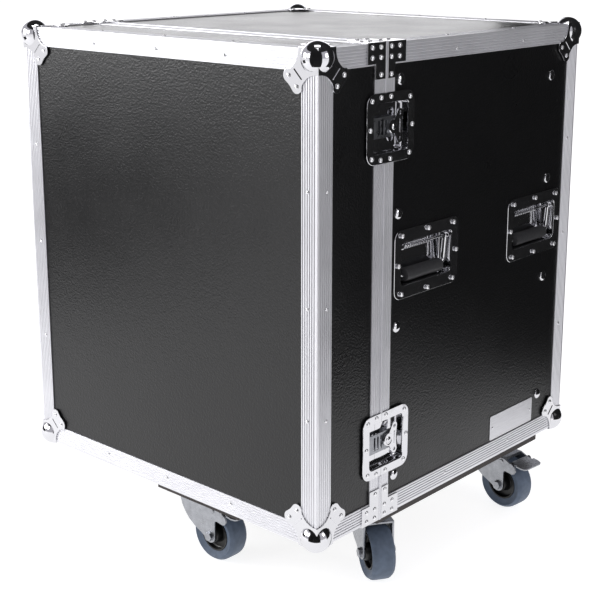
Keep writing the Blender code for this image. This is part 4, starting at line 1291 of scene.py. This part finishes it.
def fork_shape(braked):
    """The fork: a dished crown over the wheel, its cup and two legs with pressed edges."""
    half = FORK_HALF_OUT
    start = math.degrees(math.asin(half / CROWN_RADIUS))
    crown = arc((0, 0), CROWN_RADIUS, start, 360 - start, 28) + [(LEG_NOSE, -half), (LEG_NOSE, half)]
    parts = [eased(flat("Z", FORK_TOP, FORK_TOP + FORK_SHEET, crown), 0.0008)]
    cup = [(0, FORK_TOP + 0.001), (0.0262, FORK_TOP + 0.001), (0.0262, FORK_TOP + 0.0042)]
    cup += [(0.0255, 0.0868), (0.0243, 0.0894), (0.0225, 0.0918), (0.0200, RACE_UNDER), (0, RACE_UNDER)]
    parts.append(turned("Z", cup, 40))
    for sign in (1, -1):
        low, high = sorted((sign * FORK_HALF, sign * LEG_FACE))
        parts.append(eased(flat("Y", low, high, leg_outline(braked)), 0.0006))
    return joined(parts)


def axle_shape():
    """The axle bolt with a washer, a hexagon head and a lock nut."""
    face = LEG_FACE
    disc = [(0.0040, -face - 0.001), (0.0072, -face - 0.001), (0.0074, -face), (0.0040, -face)]
    washer = turned("Y", disc, 28, closed=True)
    hexagon = circle((0, 0), 0.0065, 6)
    shank = [(0, -face - 0.004), (0.004, -face - 0.004), (0.004, face + 0.004), (0, face + 0.004)]
    nylon = [(0, face + 0.003), (0.0048, face + 0.003), (0.0044, face + 0.0044), (0, face + 0.0044)]
    parts = [
        washer,
        eased(flat("Y", -face - 0.0044, -face - 0.0008, hexagon), 0.0005),
        turned("Y", shank, 20),
        turned("Y", nylon, 20),
        mirrored(washer, 1, -1, 1),
        eased(flat("Y", face + 0.0008, face + 0.0036, hexagon), 0.0004),
    ]
    return moved(joined(parts), TRAIL, 0, WHEEL_RADIUS)


def pin_shape():
    """The pedal's pin and a stop pin behind it, each with a domed head outside the lugs."""
    face = LEG_FACE
    half = [(0.0016, face), (0.0036, face), (0.0037, face + 0.0006), (0.0028, face + 0.0014)]
    half.append((0, face + 0.0016))
    pin = turned("Y", both_ways(list(reversed(half))), 20)
    stop = pin.copy()
    return joined([moved(pin, PEDAL_PIN[0], 0, PEDAL_PIN[1]), moved(stop, STOP_PIN[0], 0, STOP_PIN[1])])


def plate_shape(turn):
    """The top plate with its race, and four hexagon bolts under it."""
    half, spread = (0.0475, 0.0315), (0.0385, 0.0225)
    under = PLATE_UNDER
    outline = rounded((-half[0], -half[1]), half, 0.005)
    race = [(0, 0.0937), (0.0190, 0.0937), (0.0200, 0.0944), (0.0215, under + 0.0005), (0, under + 0.0005)]
    disc = [(0, under - 0.001), (0.0075, under - 0.001), (0.0076, under + 0.0002), (0, under + 0.0002)]
    hexagon = circle((0, 0), 0.0058, 6)
    parts = [eased(flat("Z", under, PLATE_TOP, outline), 0.0005), turned("Z", race, 40)]
    for x in (-spread[0], spread[0]):
        for y in (-spread[1], spread[1]):
            head = eased(flat("Z", under - 0.0035, under - 0.0008, hexagon), 0.0004)
            parts += [moved(head, x, y, 0), moved(turned("Z", disc, 24), x, y, 0)]
    return turned_by(joined(parts), turn, "Z")


def pedal_shape():
    """The brake pedal: a barrel round its pin and a ribbed tread, its hinge line at the origin."""
    wide, root = FORK_HALF_OUT, FORK_HALF - 0.0006
    outline = [(0, -root), (0.0086, -root), (0.0086, -wide), (PEDAL_REACH * 0.7, -wide)]
    outline += [(PEDAL_REACH * 0.92, -wide * 0.9), (PEDAL_REACH, -wide * 0.72)]
    outline += [(x, -y) for x, y in reversed(outline)]
    top = PEDAL_BARREL - GAP
    parts = [eased(flat("Z", top - 0.0025, top, outline), 0.0006)]
    ends = root - GAP
    barrel = [(0.0019, -ends), (PEDAL_BARREL, -ends), (PEDAL_BARREL, ends), (0.0019, ends)]
    parts.append(turned("Y", barrel, 24, closed=True))
    for index in range(3):
        x = 0.0115 + index * 0.0042
        rib = block((x, -wide * 0.7, top - 0.0002), (x + 0.0016, wide * 0.7, top + 0.0002))
        parts.append(eased(rib, 0.0001, 1))
    return turned_by(joined(parts), 8, "Y")


# Operators


class CASE_OT_walls(bpy.types.Operator):
    """Gives the walls, boards, rack frames and drawers of the CAD frame their finishes"""

    bl_idname = "case.walls"
    bl_label = "Walls, boards and drawers"

    def execute(self, context):
        for name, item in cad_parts.items():
            if name.endswith(("panel", "panels")):
                kind = "laminate"
            elif name.endswith("board"):
                kind = "board"
            elif name.startswith("drawer"):
                kind = "enamel"
            elif name.startswith("rack"):
                kind = "zinc"
            else:
                continue
            item.material_slots[0].material = finish(kind)
        return {"FINISHED"}


class CASE_OT_extrusions(bpy.types.Operator):
    """Builds the grooved edge extrusions and the two seam extrusions"""

    bl_idname = "case.extrusions"
    bl_label = "Extrusions"

    def execute(self, context):
        sizes = context.scene.case_sizes
        metal = finish("aluminium")
        body_long = long_bars(sizes, SEAM + BODY_FLANGE + GAP, BACK - CORNER_CLEAR)
        lid_long = long_bars(sizes, FRONT + CORNER_CLEAR, LID_SEAM - LID_FLANGE - GAP)
        body_ring = seam_ring(tongue_profile(sizes), SEAM, 1)
        lid_ring = seam_ring(groove_profile(sizes), LID_SEAM, -1)
        for name, mesh, body, node in (
            ("body_edge_extrusions", joined(body_long + end_bars(sizes, BACK, 1)), "case", "body_frame"),
            ("body_seam_extrusion", body_ring, "case", "body_frame"),
            ("lid_edge_extrusions", joined(lid_long + end_bars(sizes, FRONT, -1)), "lid", "lid_frame"),
            ("lid_seam_extrusion", lid_ring, "lid", "lid_frame"),
        ):
            piece(name, mesh, metal, body, [node], 12)
        return {"FINISHED"}


class CASE_OT_corners(bpy.types.Operator):
    """Builds the ball corners and the seam brackets"""

    bl_idname = "case.corners"
    bl_label = "Corners and brackets"

    def execute(self, context):
        metal = finish("chrome")
        body_brackets = seam_bracket_set(SEAM, BODY_BRACKET_ARM, 1)
        lid_brackets = seam_bracket_set(LID_SEAM, LID_BRACKET_ARM, -1)
        for name, mesh, body, node in (
            ("body_ball_corners", ball_corner_set(BACK, -1), "case", "body_frame"),
            ("lid_ball_corners", ball_corner_set(FRONT, 1), "lid", "lid_frame"),
            ("body_seam_brackets", body_brackets, "case", "body_frame"),
            ("lid_seam_brackets", lid_brackets, "lid", "lid_frame"),
        ):
            piece(name, mesh, metal, body, [node])
        return {"FINISHED"}


class CASE_OT_latches(bpy.types.Operator):
    """Builds the four butterfly latches with their split dishes"""

    bl_idname = "case.latches"
    bl_label = "Butterfly latches"

    def execute(self, context):
        chrome, zinc = finish("chrome"), finish("zinc")
        whole = dish(LATCH_OUTER, 0.014, LATCH_POCKET, 0.0055, GAP, LATCH_DEPTH)
        lid_half = joined([half_of(whole, -GAP / 2, -1), keeper_shape()])
        body_half = joined([half_of(whole, GAP / 2, 1), moved(post_shape(), 0, PIVOT, 0)])
        wing, hook = butterfly_shape(), hook_shape()
        for side, sign in SIDES.items():
            for level, height in LATCH_HEIGHTS.items():
                name = f"{side}_{level}"
                seam = (sign * HALF_WIDTH, SEAM, height)
                pivot = (sign * HALF_WIDTH, SEAM + PIVOT, height)
                for node, mesh, place, body, metal, slot in (
                    (f"body_latch_dish_{name}", body_half, seam, "case", chrome, "chrome"),
                    (f"lid_latch_dish_{name}", lid_half, seam, "lid", chrome, "chrome"),
                    (f"latch_butterfly_{name}", wing, pivot, f"latch_butterfly_{name}", chrome, "chrome"),
                    (f"latch_hook_{name}", hook, pivot, f"latch_hook_{name}", zinc, "zinc"),
                ):
                    shape = moved(mirrored(mesh, sign, 1, 1), *place)
                    piece(f"fine_{node}", shape, metal, body, [node])
        return {"FINISHED"}


class CASE_OT_handles(bpy.types.Operator):
    """Builds the spring handles: dish, hinge rod, bail, grip and coil spring"""

    bl_idname = "case.handles"
    bl_label = "Spring handles"

    def execute(self, context):
        chrome, rubber = finish("chrome"), finish("rubber")
        half = HANDLE_POCKET[1][0] + 0.0007
        rod = [(0, -half), (HINGE_ROD, -half), (HINGE_ROD, half), (0, half)]
        pin = moved(turned("Y", rod, 16), -HINGE_DEPTH, 0, HINGE_RISE)
        pressed = dish(HANDLE_OUTER, 0.012, HANDLE_POCKET, 0.006, -SKIN + GAP, HANDLE_DEPTH)
        shell = joined([pressed, pin])
        bail, grip, spring = bail_shape(), grip_shape(), spring_shape(context.scene.case_sizes)
        for side, sign in SIDES.items():
            for place, v in HANDLE_BEHIND_SEAM.items():
                name = f"{side}_{place}"
                node = f"handle_bail_{name}"
                centre = (sign * HALF_WIDTH, SEAM + v, HANDLE_HEIGHT)
                hinge = (centre[0] - sign * HINGE_DEPTH, centre[1], HANDLE_HEIGHT + HINGE_RISE)
                for title, mesh, at, metal, body, stands_for, slot in (
                    ("fine_handle_dish", shell, centre, chrome, "case", f"handle_dish_{name}", "chrome"),
                    ("handle_loop", bail, hinge, chrome, node, node, "zinc"),
                    ("handle_grip", grip, hinge, rubber, node, node, None),
                    ("handle_spring", spring, hinge, chrome, node, node, "zinc"),
                ):
                    shape = moved(mirrored(mesh, sign, 1, 1), *at)
                    piece(f"{title}_{name}", shape, metal, body, [stands_for])
        return {"FINISHED"}


class CASE_OT_casters(bpy.types.Operator):
    """Builds the five swivel casters"""

    bl_idname = "case.casters"
    bl_label = "Casters"

    def execute(self, context):
        zinc, rubber, black = finish("zinc"), finish("tyre"), finish("hub")
        tyre, hub, axle, pin = tyre_shape(), hub_shape(), axle_shape(), pin_shape()
        pedal = moved(pedal_shape(), PEDAL_PIN[0], 0, PEDAL_PIN[1])
        forks = {braked: fork_shape(braked) for braked in (True, False)}
        for name, (x, y, _, braked) in CASTERS.items():
            carrier, turn = ("lid", 90) if name == "lid" else ("case", 0)
            plate = moved(plate_shape(turn), x, y, 0)
            piece(f"fine_caster_plate_{name}", plate, zinc, carrier, [f"caster_plate_{name}"])
            made = [
                ("fine_caster_fork", forks[braked], zinc, "caster_fork", "zinc"),
                ("caster_axle", axle, zinc, "caster_fork", "zinc"),
                ("caster_tyre", tyre, rubber, "caster_wheel", "tyre"),
                ("caster_hub", hub, black, "caster_wheel", None),
            ]
            if braked:
                made.append(("caster_pin", pin, zinc, "caster_fork", "zinc"))
                made.append(("fine_caster_pedal", pedal, zinc, "caster_pedal", "zinc"))
            for title, mesh, material, body, slot in made:
                node = f"{body}_{name}"
                piece(f"{title}_{name}", placed(mesh.copy(), name), material, node, [node])
        return {"FINISHED"}


class CASE_OT_fasteners(bpy.types.Operator):
    """Sets every rivet head and rack bolt head"""

    bl_idname = "case.fasteners"
    bl_label = "Rivets and bolts"

    def execute(self, context):
        sizes = context.scene.case_sizes
        metal = finish("rivet")
        middle = (SEAM + BACK) / 2
        lid = corner_rivets(FRONT, 1) + edge_rivets(FRONT, 1) + latch_rivets(LID_LATCH_RIVETS)
        lid += bracket_rivets(LID_BRACKET_RIVETS, LID_SEAM, -1)
        runs = (middle - EDGE_RIVET_RUN, middle + EDGE_RIVET_RUN)
        case = corner_rivets(BACK, -1) + edge_rivets(BACK, -1, runs) + latch_rivets(BODY_LATCH_RIVETS)
        case += handle_rivets() + bracket_rivets(BODY_BRACKET_RIVETS, SEAM, 1)
        heads("lid_rivets", mirror_places(lid), sizes.rivet, sizes.rivet_dome, metal, "lid")
        heads("case_rivets", mirror_places(case), sizes.rivet, sizes.rivet_dome, metal, "case")
        bolts = []
        for behind, downs in (FRONT_RACK_BOLTS, REAR_RACK_BOLTS):
            for down in downs:
                bolts.append(((HALF_WIDTH - SHEET, SEAM + behind, TOP - down), OUTWARD, 1))
        chrome = finish("chrome")
        heads("rack_bolt_heads", mirror_places(bolts), sizes.bolt, BOLT_DOME, chrome, "case")
        return {"FINISHED"}


class CASE_OT_name_plate(bpy.types.Operator):
    """Makes the bare name plate and its two rivets"""

    bl_idname = "case.name_plate"
    bl_label = "Name plate"

    def execute(self, context):
        sizes = context.scene.case_sizes
        length, height = sizes.name_plate
        y, z = FRONT + PLATE_MIDDLE[0], BASE + PLATE_MIDDLE[1]
        low = (y - length / 2, z - height / 2)
        outline = rounded(low, (y + length / 2, z + height / 2), PLATE_CORNER)
        under = HALF_WIDTH - SKIN + 0.0001
        over = under + PLATE_SHEET
        plate = eased(flat("X", under, over, outline), 0.0002, 1)
        piece("name_plate", plate, finish("plate"), "case")
        reach = length / 2 - PLATE_RIVET_INSET
        spots = [((over, y + sign * reach, z), OUTWARD, 0.5) for sign in (1, -1)]
        metal = finish("rivet")
        heads("name_plate_rivets", spots, sizes.rivet, sizes.rivet_dome, metal, "case")
        return {"FINISHED"}


class CASE_OT_stage(bpy.types.Operator):
    """Sets the pale floor, the soft lights and the camera"""

    bl_idname = "case.stage"
    bl_label = "Stage"

    def execute(self, context):
        self.floor()
        self.world()
        self.light("left_softbox", (-2.0, -1.9, 1.2), (1.3, 1.0), 36)
        self.light("front_softbox", (-0.64, -2.27, 1.25), (0.7, 0.8), 9)
        self.light("right_softbox", (2.34, 0.4, 1.25), (0.7, 0.8), 8)
        self.light("top_softbox", (0.3, -0.3, 2.5), (0.9, 0.5), 5)
        self.light("back_softbox", (-2.6, 2.2, 1.5), (3.4, 1.7), 23)
        self.black_flat("dark_flat_right", 0.8, (5, 104), 2.4)
        self.black_flat("dark_flat_front", 0.78, (-80, -30), 2.4)
        self.black_flat("dark_flat_left", 1.6, (-156, -126), 0.4)
        self.ceiling()
        self.backdrop()
        self.camera()
        return {"FINISHED"}

    def stand(self, name, points, faces, material, unseen=()):
        """A surface of the stage, and the kinds of ray that pass it by."""
        mesh = bpy.data.meshes.new(name)
        mesh.from_pydata(points, [], faces)
        mesh.materials.append(material)
        item = bpy.data.objects.new(name, mesh)
        bpy.context.scene.collection.objects.link(item)
        for kind in unseen:
            setattr(item, f"visible_{kind}", False)

    def paper(self, name, glow):
        """Matt seamless paper: faint grey clouds under an even glow, so that it looks plain white."""
        material, tree, surface, place = shader(name, linear("#c8c8ca"), Roughness=0.9)
        surface.inputs["Emission Color"].default_value = (1, 1, 1, 1)
        surface.inputs["Emission Strength"].default_value = glow
        tinted(tree, surface, varied(tree, place, 1.5, 0, 1), linear("#a8a8aa"), linear("#b0b0b0"))
        return material

    def cloth(self, name):
        """Black flannel: dead matt, so that a mirror shows it as black."""
        material, tree, surface, place = shader(name, linear("#0a0a0b"), Roughness=1.0)
        tinted(tree, surface, varied(tree, place, 0.3, 0, 1), linear("#080808"), linear("#0c0c0e"))
        return material

    def floor(self):
        """The pale floor, far wider than any view of the case."""
        reach = 60
        corners = [(x, y, 0) for x, y in rectangle((-reach, -reach), (reach, reach))]
        self.stand("pale_floor", corners, [(0, 1, 2, 3)], self.paper("matt_white_paper", 0.84))

    def backdrop(self):
        """White paper round the edge of the floor, which only the camera sees, so that it hides no light."""
        radius, height, sides = 38, 40, 48
        ring = circle((0, 0), radius, sides)
        points = [(x, y, z) for z in (0, height) for x, y in ring]
        faces = [(i, (i + 1) % sides, (i + 1) % sides + sides, i + sides) for i in range(sides)]
        unseen = ("diffuse", "glossy", "transmission", "volume_scatter", "shadow")
        self.stand("pale_backdrop", points, faces, self.paper("backdrop_paper", 1.0), unseen)

    def black_flat(self, name, radius, spread, height):
        """A curved black flat that only reflections show, as in a studio that is dark beyond the paper."""
        steps = 24
        bend = arc((0, 0), radius, *spread, steps)
        points = [(x, y, z) for z in (0.002, height) for x, y in bend]
        faces = [(i, i + 1, i + steps + 2, i + steps + 1) for i in range(steps)]
        self.dark(name, points, faces)

    def ceiling(self):
        """A black disc over the stage, which only reflections show."""
        points = [(x, y, 3.2) for x, y in circle((0, 0), 3.4, 32)]
        self.dark("dark_ceiling", points, [tuple(range(32))])

    def dark(self, name, points, faces):
        """A surface of black cloth, which only reflections show."""
        unseen = ("camera", "diffuse", "transmission", "volume_scatter", "shadow")
        self.stand(name, points, faces, self.cloth(f"{name}_cloth"), unseen)

    def world(self):
        """Even, faintly cool light from all round."""
        world = bpy.data.worlds.new("soft_room")
        world.use_nodes = True
        background = world.node_tree.nodes["Background"]
        background.inputs["Color"].default_value = (*linear("#f3f1f8"), 1)
        background.inputs["Strength"].default_value = 0.6
        bpy.context.scene.world = world

    def light(self, name, place, size, power):
        """A soft box that looks at the middle of the case."""
        data = bpy.data.lights.new(name, "AREA")
        data.shape = "RECTANGLE"
        data.size, data.size_y = size
        data.energy = power
        item = bpy.data.objects.new(name, data)
        bpy.context.scene.collection.objects.link(item)
        item.location = place
        aim = Vector((0, 0, 0.45)) - Vector(place)
        item.rotation_euler = aim.to_track_quat("-Z", "Y").to_euler()
        item.visible_camera = False

    def camera(self):
        """The photograph's own view, fitted to the corners of the case."""
        data = bpy.data.cameras.new("camera")
        data.lens = 76.65
        data.sensor_width = 36
        data.shift_y = -0.1
        data.clip_end = 200
        item = bpy.data.objects.new("camera", data)
        bpy.context.scene.collection.objects.link(item)
        item.location = (1.1907, -1.3339, 0.8345)
        item.rotation_euler = (math.radians(90 - 13.56), 0, math.radians(42))
        bpy.context.scene.camera = item
        bpy.context.scene.view_settings.view_transform = "Standard"


OPERATORS = (
    CASE_OT_walls,
    CASE_OT_extrusions,
    CASE_OT_corners,
    CASE_OT_latches,
    CASE_OT_handles,
    CASE_OT_casters,
    CASE_OT_fasteners,
    CASE_OT_name_plate,
    CASE_OT_stage,
)


class CASE_PT_build(bpy.types.Panel):
    """Lists the steps that build the case"""

    bl_label = "Case"
    bl_idname = "CASE_PT_build"
    bl_space_type = "VIEW_3D"
    bl_region_type = "UI"
    bl_category = "Case"

    def draw(self, context):
        for step in OPERATORS:
            self.layout.operator(step.bl_idname)
        for group in (context.scene.case_sizes, context.scene.case_colours):
            for name in group.__annotations__:
                self.layout.prop(group, name)


CLASSES = (CaseSizes, CaseColours, *OPERATORS, CASE_PT_build)


def register():
    """Adds the classes, and the sizes and colours that the scene holds."""
    for made in CLASSES:
        bpy.utils.register_class(made)
    bpy.types.Scene.case_sizes = bpy.props.PointerProperty(type=CaseSizes)
    bpy.types.Scene.case_colours = bpy.props.PointerProperty(type=CaseColours)


def unregister():
    """Takes them away again, the last one first."""
    del bpy.types.Scene.case_colours
    del bpy.types.Scene.case_sizes
    for made in reversed(CLASSES):
        bpy.utils.unregister_class(made)


def main():
    """Runs every operator in order."""
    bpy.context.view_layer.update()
    register()
    for step in OPERATORS:
        group, name = step.bl_idname.split(".")
        getattr(getattr(bpy.ops, group), name)()


if __name__ == "__main__":
    main()
